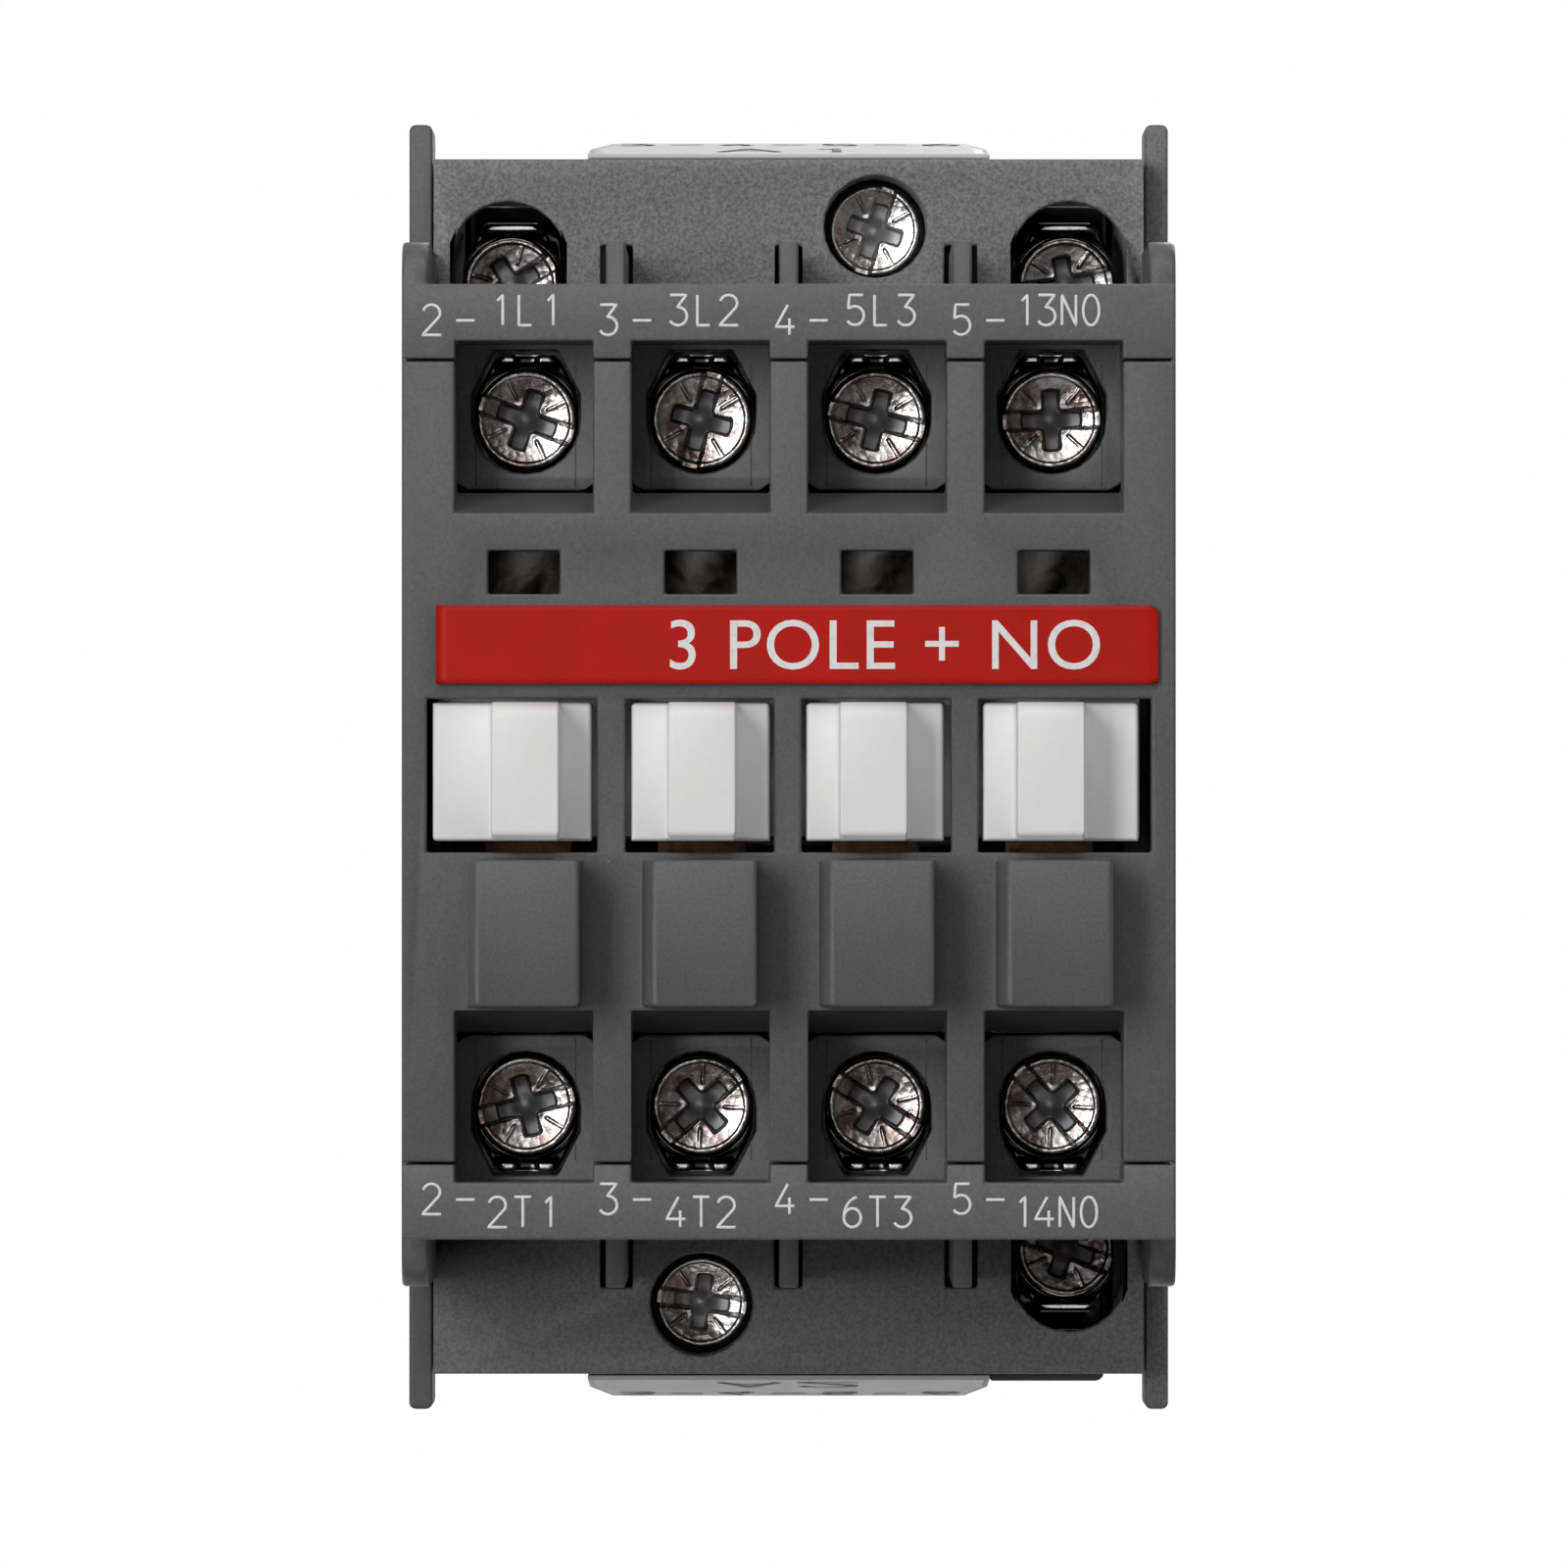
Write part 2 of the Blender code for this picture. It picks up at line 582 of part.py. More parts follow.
def make_screw(name, x, z, front, radius, height, shank, tip, turn, material):
    """A combination-head screw. Its origin is on its axis, at the front of its head."""
    profile = [
        (shank * 0.7, tip - front), (shank, tip - front + 0.6), (shank, -height),
        (radius, -height), (radius, -0.35), (radius - 0.35, 0.0),
    ]
    body = turned(name, profile, 16)
    slot = box((-radius - 1, radius + 1), (-1.0, 1.0), (-0.45, 0.45))
    cross = box((-0.4, 0.4), (-1.3, 1.0), (-1.6, 1.6))
    spin = Matrix.Rotation(math.radians(turn), 4, "Y")
    for item in (body, slot, cross):
        item.location = Vector((x, -front, z)) * MM
        item.rotation_euler = spin.to_euler()
    shape(name, material, body, ("DIFFERENCE", [slot, cross]))


def make_clamp(name, x, z, end, front, material):
    """The captive clamp plate under a screw head, with a folded lip at its outer end."""
    body = extrude(hood_outline(x, z, end, GAP, 10), "front", front - CLAMP_DEPTH, front)
    outer = HOOD_OUTER - SCREW_Z - GAP
    lip = ends_box((x - 1.5, x + 1.5), (front - 0.3, front + 0.9), (abs(z) + outer - 0.5, abs(z) + outer), end)
    hole = cylinder(x, z, SHANK_RADIUS + 0.3, (front - 3, front + 3), 16)
    shape(name, material, body, ("UNION", [lip]), ("DIFFERENCE", [hole]))


def make_main_terminals():
    """Fixed contact, screw and clamp at both ends of each pole."""
    front, rear = PLATE_FRONT, PLATE_FRONT - PLATE_THICK
    leg, leg_front, tip = 43.4, 44.6, 45.55
    profile = [
        (6.0, leg), (14.9, leg), (14.9, rear), (PLATE_TIP, rear), (PLATE_TIP, front), (13.7, front),
        (13.7, leg_front), (9.2, leg_front), (9.2, tip), (6.2, tip), (6.2, leg_front), (6.0, leg_front),
    ]
    for end, side in zip(ENDS, ("line", "load")):
        for number, pole in enumerate(POLES, 1):
            z = end * SCREW_Z
            outline = [(end * u, depth) for u, depth in profile]
            contact = extrude(outline, "side", pole - PLATE_HALF_WIDTH, pole + PLATE_HALF_WIDTH)
            hole = cylinder(pole, z, SHANK_RADIUS + 0.25, (rear - 1, front + 1), 16)
            shape(f"{side}_contact_{number}", "copper", contact, ("DIFFERENCE", [hole]))
            turn = 25 + 47 * number + 20 * end
            make_screw(
                f"{side}_screw_{number}", pole, z, HEAD_FRONT, HEAD_RADIUS, HEAD_HEIGHT,
                SHANK_RADIUS, rear - 0.6, turn, "screw_steel",
            )
            clamp_front = HEAD_FRONT - HEAD_HEIGHT - 0.1
            make_clamp(f"{side}_clamp_{number}", pole, z, end, clamp_front, "clamp_steel")


def make_coil_terminals():
    """Plate, screw and clamp at the three coil terminals."""
    front, rear = COIL_PLATE_FRONT, COIL_PLATE_FRONT - 1.1
    for number, (side, end) in enumerate(COIL_CORNERS, 1):
        x, z = side * COIL_X, end * COIL_Z
        plate = ends_box(sorted((side * 13.0, side * 18.4)), (rear, front), (23.0, 33.0), end)
        hole = cylinder(x, z, SHANK_RADIUS + 0.25, (rear - 1, front + 1), 16)
        shape(f"coil_plate_{number}", "copper", plate, ("DIFFERENCE", [hole]))
        make_screw(
            f"coil_screw_{number}", x, z, COIL_HEAD_FRONT, HEAD_RADIUS, HEAD_HEIGHT,
            SHANK_RADIUS, rear - 0.6, 30 * number, "screw_steel",
        )
        clamp_front = COIL_HEAD_FRONT - HEAD_HEIGHT - 0.1
        make_clamp(f"coil_clamp_{number}", x, z, end, clamp_front, "clamp_steel")


def make_housing_screws():
    """The two screws that hold the contact housing to the base."""
    for number, (x, z) in enumerate(HOUSING_SCREWS, 1):
        front = COLUMN_SEAT + 0.1 + HEAD_HEIGHT
        make_screw(
            f"housing_screw_{number}", x, z, front, 2.6, HEAD_HEIGHT,
            1.5, 9.0, 65 * number, "screw_steel",
        )


# Magnet


def make_coil():
    """The bobbin, which also carries the coil terminals and the end labels, and its winding."""
    rear, front = BOBBIN
    body = box((-6.2, 6.2), BOBBIN, (-8.2, 8.2))
    flange_x, flange_z = FLANGE
    tongue = (front - FLANGE_THICK, front)
    adds = [
        box((-flange_x, flange_x), (rear, rear + FLANGE_THICK), (-flange_z, flange_z)),
        box((-flange_x, flange_x), tongue, (-flange_z, flange_z)),
        box((-11.4, 11.4), tongue, (-35.5, 35.5)),
    ]
    for end in ENDS:
        for side in ENDS:
            wall = sorted((side * 10.2, side * 11.4))
            adds.append(ends_box(wall, (14.0, front - 0.4), (16.2, 33.3), end))
        label = [(35.25, 8.0), (LABEL_REACH, 8.0), (35.5, 29.5), (35.25, 29.5)]
        outline = [(end * z, depth) for z, depth in label]
        adds.append(extrude(outline, "side", -11.65, 11.65))
    for side, end in COIL_CORNERS:
        block = sorted((side * 11.0, side * 18.7))
        adds.append(ends_box(block, (14.0, 17.9), (22.0, 33.3), end))
    cuts = [box((-5.4, 5.4), (rear - 1, front + 1), (-7.4, 7.4))]
    cuts += [cylinder(x, z, COLUMN_RADIUS + 0.25, (23.0, 26.5)) for x, z in HOUSING_SCREWS]
    cuts += [cylinder(s * COIL_X, e * COIL_Z, THREAD_CLEARANCE, (13.0, 19.0), 16) for s, e in COIL_CORNERS]
    for side in ENDS:
        corner = [(side * 11.7, 20.0), (side * 10.5, 7.9), (side * 12.5, 7.9), (side * 12.5, 20.0)]
        cuts += [extrude(corner, "top", *sorted((end * 35.2, end * 37.5))) for end in ENDS]
    shape("coil_bobbin", "grey_plastic", body, ("UNION", adds), ("DIFFERENCE", cuts))

    turns = (rear + FLANGE_THICK + GAP, front - FLANGE_THICK - GAP)
    corners = ((10.5, 13.7, 0), (-10.5, 13.7, 90), (-10.5, -13.7, 180), (10.5, -13.7, 270))
    outline = []
    for x, z, start in corners:
        outline += arc((x, z), 1.5, start, start + 90, 3)
    winding = extrude(outline, "front", *turns)
    core = box((-6.5, 6.5), (turns[0] - 1, turns[1] + 1), (-8.5, 8.5))
    shape("coil_winding", "coil_tape", winding, ("DIFFERENCE", [core]))


def core_outline(poles, centre, yoke_near, yoke_far):
    """The E of a laminated core: outer legs to poles, a shorter centre leg, and the yoke."""
    half, outer, middle = CORE_HALF_WIDTH, OUTER_LEG, CENTRE_LEG
    right = [
        (middle, centre), (middle, yoke_near), (outer, yoke_near),
        (outer, poles), (half, poles), (half, yoke_far),
    ]
    return right + [(-x, depth) for x, depth in reversed(right)]


def make_magnet():
    """Both E cores, the shading rings, the pad behind the fixed core and the core pin."""
    yoke_far = YOKE_REAR
    fixed = core_outline(FIXED_POLE, FIXED_POLE - 0.3, YOKE_REAR + YOKE_THICK, yoke_far)
    core = extrude(fixed, "top", -CORE_HALF_HEIGHT, CORE_HALF_HEIGHT)
    cuts = []
    for side, name in zip(ENDS, ("right", "left")):
        groove = ring_outline(side, 12.0, 19.0, 0.7, 8.0)
        tool = extrude(groove, "front", FIXED_POLE - 1.7, FIXED_POLE + 1)
        stump = extrude(ring_outline(side, 14.35, 16.65, 2.15, 5.65), "front", 14.0, 20.0)
        cuts.append((tool, stump))
        ring = extrude(ring_outline(side, 13.1, 17.9, 0.95, 6.9), "front", FIXED_POLE - 1.4, FIXED_POLE - 0.4)
        eye = extrude(ring_outline(side, 14.1, 16.9, 1.9, 5.9), "front", 14.0, 20.0)
        shape(f"shading_ring_{name}", "copper", ring, ("DIFFERENCE", [eye]))
    tools = []
    for number, (tool, stump) in enumerate(cuts):
        tools.append(shape(f"groove_{number}", "core_steel", tool, ("DIFFERENCE", [stump])))
    shape("fixed_core", "core_steel", core, ("DIFFERENCE", tools))

    moving = core_outline(MOVING_POLE, MOVING_POLE + 0.5, *MOVING_YOKE)
    body = extrude(moving, "top", -CORE_HALF_HEIGHT, CORE_HALF_HEIGHT)
    circle = arc((0, PIN_DEPTH), PIN_RADIUS + 0.25, 0, 360, 12)[:-1]
    bore = extrude(circle, "top", -8.0, 8.0)
    shape("moving_core", "core_steel", body, ("DIFFERENCE", [bore]))

    pin = extrude(arc((0, PIN_DEPTH), PIN_RADIUS, 0, 360, 12)[:-1], "top", -8.8, 8.8)
    finish(pin, "core_pin", "screw_steel")
    pad = box((-17.0, 17.0), (BASE_FLOOR + 0.2, YOKE_REAR - 0.2), (-6.8, 6.8))
    finish(pad, "damping_pad", "rubber")
    for number, end in enumerate(ENDS, 1):
        name = f"return_spring_{number}"
        start = (0, -(BOBBIN[1] + GAP), end * 12.3)
        stop = (0, GAP - CARRIER_FLANGE[0], end * 12.3)
        finish(coil_spring(name, start, stop, 5.8, 0.6, 4.0), name, "spring_steel")


def ring_outline(side, inner, outer, low, high):
    """A rectangle in the front plane, on the right (1) or the left (-1)."""
    return ((side * inner, low), (side * outer, low), (side * outer, high), (side * inner, high))


# Rail clip


def make_din_clip():
    """The sliding rail clip in its guide, and the spring that pushes it up onto the rail."""
    rear, front = CLIP_DEPTH
    low, high = CLIP_Z
    nose = [(low, rear), (high - 1.0, rear), (high, rear + 1.0), (high, front), (low, front)]
    body = extrude(nose, "side", -CLIP_HALF_WIDTH, CLIP_HALF_WIDTH)
    through = (rear - 1.0, front + 1.0)
    cuts = []
    for half, bottom, top in (CLIP_WINDOW, CLIP_PULL):
        cuts.append(box((-half, half), through, (bottom, top)))
    shape("din_clip", "white_plastic", body, ("DIFFERENCE", cuts))
    middle = -(rear + front) / 2
    spring = coil_spring("din_clip_spring", (0, middle, -27.8), (0, middle, -20.5), 2.2, 0.4, 5.5)
    finish(spring, "din_clip_spring", "spring_steel")


def main():
    """Make every piece of the contactor."""
    clear_scene()
    make_materials()
    make_base_housing()
    make_contact_housing()
    make_front_cover()
    make_label_strip()
    make_contact_carrier()
    make_bridges()
    make_main_terminals()
    make_coil_terminals()
    make_housing_screws()
    make_coil()
    make_magnet()
    make_din_clip()


main()
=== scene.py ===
"""The finished look of a four-pole block contactor: moulded shells, combination-head screws,
nickel clamps, the white carrier, its markings, the coil and the magnet, and a plain studio."""
import json
import math

import bmesh
import bpy
import numpy as np
from bpy.props import FloatProperty, FloatVectorProperty, IntProperty, PointerProperty, StringProperty
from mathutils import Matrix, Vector


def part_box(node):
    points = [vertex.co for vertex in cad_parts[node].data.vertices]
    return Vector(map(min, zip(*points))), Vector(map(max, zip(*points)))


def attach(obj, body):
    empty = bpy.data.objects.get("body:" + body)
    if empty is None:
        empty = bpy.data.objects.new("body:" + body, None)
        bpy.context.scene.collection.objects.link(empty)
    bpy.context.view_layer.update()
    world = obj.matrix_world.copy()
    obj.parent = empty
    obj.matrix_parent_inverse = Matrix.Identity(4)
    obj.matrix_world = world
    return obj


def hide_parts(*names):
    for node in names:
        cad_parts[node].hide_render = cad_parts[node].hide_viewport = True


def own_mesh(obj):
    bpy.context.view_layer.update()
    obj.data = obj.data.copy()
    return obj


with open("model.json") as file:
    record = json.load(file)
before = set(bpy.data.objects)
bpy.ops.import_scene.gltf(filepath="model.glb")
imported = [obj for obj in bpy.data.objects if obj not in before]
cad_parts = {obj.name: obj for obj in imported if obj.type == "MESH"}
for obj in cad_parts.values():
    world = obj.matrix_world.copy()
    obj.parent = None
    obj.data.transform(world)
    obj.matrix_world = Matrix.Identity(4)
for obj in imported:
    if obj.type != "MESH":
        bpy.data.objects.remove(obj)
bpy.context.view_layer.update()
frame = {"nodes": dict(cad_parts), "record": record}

bl_info = {
    "name": "Block contactor",
    "version": (1, 0, 0),
    "blender": (4, 5, 0),
    "location": "View3D > Sidebar > Contactor",
    "description": "Builds the visible surfaces of a block contactor around its solid model",
    "category": "Object",
}

MM = 0.001
BODY_OF = {node: body for body, nodes in frame["record"]["behaviour"]["bodies"].items() for node in nodes}
POLES = (1, 2, 3, 4)
COIL_CORNERS = (1, 2, 3)
SIDES = ("line", "load")


# Sizes and colours that a user may change


class ContactorSizes(bpy.types.PropertyGroup):
    """Sizes of the finish that is laid over the solid model."""

    shell_edge: FloatProperty(
        name="Shell edge", description="Radius of a moulded shell's edges",
        default=0.16 * MM, unit="LENGTH",
    )
    metal_edge: FloatProperty(
        name="Metal edge", description="Radius of a stamped part's edges",
        default=0.12 * MM, unit="LENGTH",
    )
    thread_pitch: FloatProperty(
        name="Thread pitch", description="Advance of a screw in one turn",
        default=0.6 * MM, unit="LENGTH",
    )
    stroke: FloatProperty(
        name="Stroke", description="Width of the terminal numbers' lines",
        default=0.165 * MM, unit="LENGTH",
    )
    around: IntProperty(
        name="Steps around", description="Faces round a screw head", default=144, min=24,
    )


class ContactorColours(bpy.types.PropertyGroup):
    """Colours of the moulded and printed parts."""

    casing: FloatVectorProperty(
        name="Casing", description="Moulded contact housing", subtype="COLOR",
        default=(0.120, 0.120, 0.122), min=0.0, max=1.0,
    )
    cover: FloatVectorProperty(
        name="Cover", description="Moulded front cover", subtype="COLOR",
        default=(0.100, 0.101, 0.105), min=0.0, max=1.0,
    )
    base: FloatVectorProperty(
        name="Base", description="Moulded base housing", subtype="COLOR",
        default=(0.122, 0.122, 0.123), min=0.0, max=1.0,
    )
    carrier: FloatVectorProperty(
        name="Carrier", description="White contact carrier", subtype="COLOR",
        default=(0.86, 0.86, 0.86), min=0.0, max=1.0,
    )
    strip: FloatVectorProperty(
        name="Strip", description="Red marking strip", subtype="COLOR",
        default=(0.475, 0.010, 0.005), min=0.0, max=1.0,
    )
    print_white: FloatVectorProperty(
        name="Print", description="White lettering", subtype="COLOR",
        default=(0.82, 0.81, 0.79), min=0.0, max=1.0,
    )
    rating: StringProperty(
        name="Rating", description="Words on the red strip", default="3 POLE + NO",
    )


# Putting meshes in the scene


def centre_of(node):
    """The middle of a node's box, in metres."""
    low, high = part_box(node)
    return np.array((low + high) / 2)


def in_scene(name, data):
    """A new object with some data, in the scene."""
    item = bpy.data.objects.new(name, data)
    bpy.context.scene.collection.objects.link(item)
    return item


def register_piece(item, node, finish, replaced=True):
    """A piece rides with a node's body, and stands for the node if asked to."""
    item.data.materials.clear()
    item.data.materials.append(finish_named(finish))
    if replaced:
        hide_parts(node)
    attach(item, BODY_OF[node])
    return item


def mesh_object(name, points, faces):
    """An object from an array of points and an array of faces, shaded smooth."""
    mesh = bpy.data.meshes.new(name)
    mesh.from_pydata(np.asarray(points).reshape(-1, 3).tolist(), [], [list(face) for face in faces])
    mesh.validate()
    mesh.update()
    mesh.shade_smooth()
    return in_scene(name, mesh)


def grid_faces(rows, columns, around=False, offset=0):
    """Four-sided faces of a grid whose points are stored row by row, closed around its columns if asked."""
    last = columns if around else columns - 1
    row, column = np.meshgrid(np.arange(rows - 1), np.arange(last), indexing="ij")
    following = (column + 1) % columns
    corners = (
        row * columns + column, row * columns + following,
        (row + 1) * columns + following, (row + 1) * columns + column,
    )
    return np.stack(corners, axis=-1).reshape(-1, 4) + offset


def tube_faces(rows, sides, offset=0):
    """Faces of a tube of rings, with both its ends closed."""
    faces = grid_faces(rows, sides, around=True, offset=offset).tolist()
    last = offset + (rows - 1) * sides
    return faces + [list(range(offset, offset + sides))[::-1], list(range(last, last + sides))]


def face_outwards(item):
    """Merge doubled points and turn every face outwards."""
    bm = bmesh.new()
    bm.from_mesh(item.data)
    bmesh.ops.remove_doubles(bm, verts=bm.verts[:], dist=1e-7)
    bmesh.ops.recalc_face_normals(bm, faces=bm.faces[:])
    bm.to_mesh(item.data)
    bm.free()
    item.data.shade_smooth()
    return item


def new_piece(name, points, faces, node, finish, replaced=True):
    """A piece from points and faces, merged and turned outwards, and given to a node."""
    return register_piece(face_outwards(mesh_object(name, points, faces)), node, finish, replaced)


def revolve(name, points):
    """A closed body from a grid of rings; its first and last rings are single points."""
    rings = points[1:-1]
    rows, columns = rings.shape[:2]
    vertices = np.vstack([rings.reshape(-1, 3), points[0][:1], points[-1][:1]])
    faces = grid_faces(rows, columns, around=True).tolist()
    step = np.arange(columns)
    following = (step + 1) % columns
    top, bottom = rows * columns, rows * columns + 1
    last = (rows - 1) * columns
    faces += np.stack([np.full(columns, top), following, step], axis=-1).tolist()
    faces += np.stack([np.full(columns, bottom), last + step, last + following], axis=-1).tolist()
    return face_outwards(mesh_object(name, vertices, faces))


def slab(points, back):
    """Vertices and faces of a sheet and its copy moved by back, joined along all four edges."""
    rows, columns = points.shape[:2]
    count = rows * columns
    front = grid_faces(rows, columns)
    rear = grid_faces(rows, columns, offset=count)[:, ::-1]
    index = np.arange(count).reshape(rows, columns)
    edge = np.concatenate([index[0, :], index[1:, -1], index[-1, -2::-1], index[-2:0:-1, 0]])
    following = np.roll(edge, -1)
    rim = np.stack([edge, edge + count, following + count, following], axis=-1)
    vertices = np.vstack([points.reshape(-1, 3), points.reshape(-1, 3) + back])
    return vertices, np.vstack([front, rear, rim])


def sweep(paths, width, height, sides=8):
    """Vertices and faces of closed strokes. Each path is an (n, 3) array in a plane facing -Y, and
    the profile carried along it is an ellipse: centre + width/2 cos t across + height/2 sin t out."""
    vertices, faces, count = [], [], 0
    turn = np.linspace(0, 2 * np.pi, sides, endpoint=False)
    out = np.array([0.0, -1.0, 0.0])
    for path in paths:
        along = np.gradient(path, axis=0)
        along /= np.linalg.norm(along, axis=1)[:, None]
        across = np.cross(along, out)
        ring = (
            path[:, None]
            + across[:, None] * (np.cos(turn) * width / 2)[None, :, None]
            + out * (np.sin(turn) * height / 2)[None, :, None]
        )
        vertices.append(ring.reshape(-1, 3))
        faces += tube_faces(len(path), sides, count)
        count += len(path) * sides
    return np.vstack(vertices), faces


SOFT_CORNERS = {
    "base_housing": (20.0 * MM, 35.2 * MM, 5.0 * MM, 0.36 * MM),
    "contact_housing": (19.5 * MM, 26.6 * MM, 32.2 * MM, 0.36 * MM),
    "front_cover": (0.0, 0.0, 66.0 * MM, 0.30 * MM),
}


def wanted_rounding(bm, node_name, edge):
    """Radius wanted at each edge: wider on the side plates, fins and blocks that stand out."""
    wanted = np.full(len(bm.edges), edge)
    if node_name in SOFT_CORNERS:
        out, up, depth, wide = SOFT_CORNERS[node_name]
        middle = np.array([(piece.verts[0].co + piece.verts[1].co) / 2 for piece in bm.edges])
        far = (np.abs(middle[:, 0]) > out) & (np.abs(middle[:, 2]) > up) & (-middle[:, 1] > depth)
        wanted[far] = wide
    return wanted


def edge_room(bm, wanted, share):
    """How wide each edge may be rounded: a share of its distance to its faces' other corners."""
    room = wanted.copy()
    bm.edges.index_update()
    for face in bm.faces:
        corner = np.array([loop.vert.co for loop in face.loops])
        index = np.array([loop.edge.index for loop in face.loops])
        along = np.roll(corner, -1, axis=0) - corner
        off = corner[None] - corner[:, None]
        length = np.maximum((along ** 2).sum(axis=1), 1e-18)
        part = np.clip((off * along[:, None]).sum(axis=2) / length[:, None], 0.0, 1.0)
        away = np.linalg.norm(off - part[..., None] * along[:, None], axis=2)
        away[away < 1e-7] = np.inf
        count = np.arange(len(corner))
        away[count, (count + 1) % len(corner)] = np.inf
        np.minimum.at(room, index, away.min(axis=1) * share)
        np.minimum.at(room, index, away.min(axis=0) * share)
        np.minimum.at(room, np.roll(index, 1), away.min(axis=0) * share)
    return room


def shell_of(node, name, edge, finish, ends=0.0):
    """A copy of a node with rounded edges, and its two Z ends moved outwards to narrow a seam.

    Doubled points are merged and flat faces joined, then each edge gets a weight from its room.
    """
    mesh = frame["nodes"][node].data.copy()
    mesh.name = name
    bm = bmesh.new()
    bm.from_mesh(mesh)
    bmesh.ops.remove_doubles(bm, verts=bm.verts[:], dist=2e-7)
    bmesh.ops.dissolve_limit(
        bm, angle_limit=math.radians(0.6), verts=bm.verts[:], edges=bm.edges[:],
        use_dissolve_boundaries=False,
    )
    furthest = max(abs(vert.co.z) for vert in bm.verts)
    for vert in bm.verts:
        if ends and abs(vert.co.z) > furthest - 0.01 * MM:
            vert.co.z += math.copysign(ends, vert.co.z)
    layer = bm.edges.layers.float.new("bevel_weight_edge")
    wanted = wanted_rounding(bm, node, edge)
    width = float(wanted.max())
    for piece, room in zip(bm.edges, edge_room(bm, wanted, 0.3)):
        piece[layer] = room / width if piece.calc_face_angle(0.0) > math.radians(32.0) else 0.0
    bm.to_mesh(mesh)
    bm.free()
    mesh.shade_smooth()
    item = in_scene(name, mesh)
    bevel = item.modifiers.new("edges", "BEVEL")
    bevel.width = width
    bevel.segments = 3
    bevel.limit_method = "WEIGHT"
    bevel.use_clamp_overlap = False
    bevel.loop_slide = False
    bevel.harden_normals = True
    return register_piece(item, node, finish)


# Materials


def node(tree, kind, inputs=None, **settings):
    """One shader node: settings are its own properties, and inputs are numbers or linked sockets."""
    made = tree.nodes.new(kind)
    for key, value in settings.items():
        setattr(made, key, value)
    for key, value in (inputs or {}).items():
        if isinstance(value, bpy.types.NodeSocket):
            tree.links.new(value, made.inputs[key])
        else:
            made.inputs[key].default_value = value
    return made


def start_material(name):
    """A new material, its Principled shader and its Object coordinates."""
    material = bpy.data.materials.new(name)
    material.use_nodes = True
    tree = material.node_tree
    return material, tree.nodes["Principled BSDF"], node(tree, "ShaderNodeTexCoord").outputs["Object"]


def stretched(place, scale):
    """Object coordinates scaled for a pattern that runs one way."""
    return node(place.id_data, "ShaderNodeMapping", {"Vector": place, "Scale": scale}).outputs["Vector"]


def noise(place, per_metre, detail=3.0, roughness=0.55, distortion=0.0):
    """A noise texture's strength, at so many cells to the metre."""
    inputs = {
        "Vector": place, "Scale": per_metre, "Detail": detail,
        "Roughness": roughness, "Distortion": distortion,
    }
    return node(place.id_data, "ShaderNodeTexNoise", inputs).outputs["Fac"]


def spread(value, low, high, to_low=0.0, to_high=1.0):
    """A value between low and high carried onto another range, and held within it."""
    inputs = {"Value": value, "From Min": low, "From Max": high, "To Min": to_low, "To Max": to_high}
    return node(value.id_data, "ShaderNodeMapRange", inputs, clamp=True).outputs["Result"]


def worked(operation, first, second=0.0):
    """A sum on one socket, or on a socket and another or a number."""
    return node(first.id_data, "ShaderNodeMath", {0: first, 1: second}, operation=operation).outputs[0]


def blended(factor, first, second):
    """Two colours mixed by a factor; each is a colour or a socket."""
    inputs = {0: factor, 6: first, 7: second}
    return node(factor.id_data, "ShaderNodeMix", inputs, data_type="RGBA").outputs[2]


def shade(colour, by):
    """A colour made lighter or darker by a factor, as four numbers."""
    return (*[min(1.0, part * by) for part in colour], 1.0)


def coat(shader, tone, gloss, *layers, metallic=0.0, specular=0.5):
    """Link a colour and a roughness, and lay bumps, each (height, strength, distance in metres)."""
    tree = shader.id_data
    tree.links.new(tone, shader.inputs["Base Color"])
    tree.links.new(gloss, shader.inputs["Roughness"])
    shader.inputs["Metallic"].default_value = metallic
    shader.inputs["Specular IOR Level"].default_value = specular
    normal = None
    for height, strength, distance in layers:
        inputs = {"Height": height, "Strength": strength, "Distance": distance}
        if normal is not None:
            inputs["Normal"] = normal
        normal = node(tree, "ShaderNodeBump", inputs).outputs["Normal"]
    tree.links.new(normal, shader.inputs["Normal"])


def specks(place, per_metre, size):
    """Sparse dust: 1 within a small distance of some cells' centres, and 0 elsewhere."""
    cells = node(place.id_data, "ShaderNodeTexVoronoi", {"Vector": place, "Scale": per_metre})
    near = spread(cells.outputs["Distance"], size * 0.5, size, 1.0, 0.0)
    chosen = part_of(cells.outputs["Color"], "Red")
    return worked("MULTIPLY", near, spread(chosen, 0.86, 0.9))


def part_of(value, part):
    """One part of a colour (Red, Green, Blue) or of a place (X, Y, Z)."""
    kind, key = ("XYZ", "Vector") if part in "XYZ" else ("Color", "Color")
    return node(value.id_data, f"ShaderNodeSeparate{kind}", {key: value}).outputs[part]


DUST = (0.6, 0.6, 0.6, 1.0)
# Painted light: the deck and all behind it are painted lighter, most at the top, as if more light fell there.
DECK_PAINTED_LIGHT = ("Y", -36.0 * MM, -32.3 * MM, 2.2, 0.45)
# Painted light: the base housing's right-hand side and its right ears are painted lighter, as if lit as well
# as the left.
SIDE_PAINTED_LIGHT = ("X", 19.0 * MM, 20.4 * MM, 1.6, 1.0)


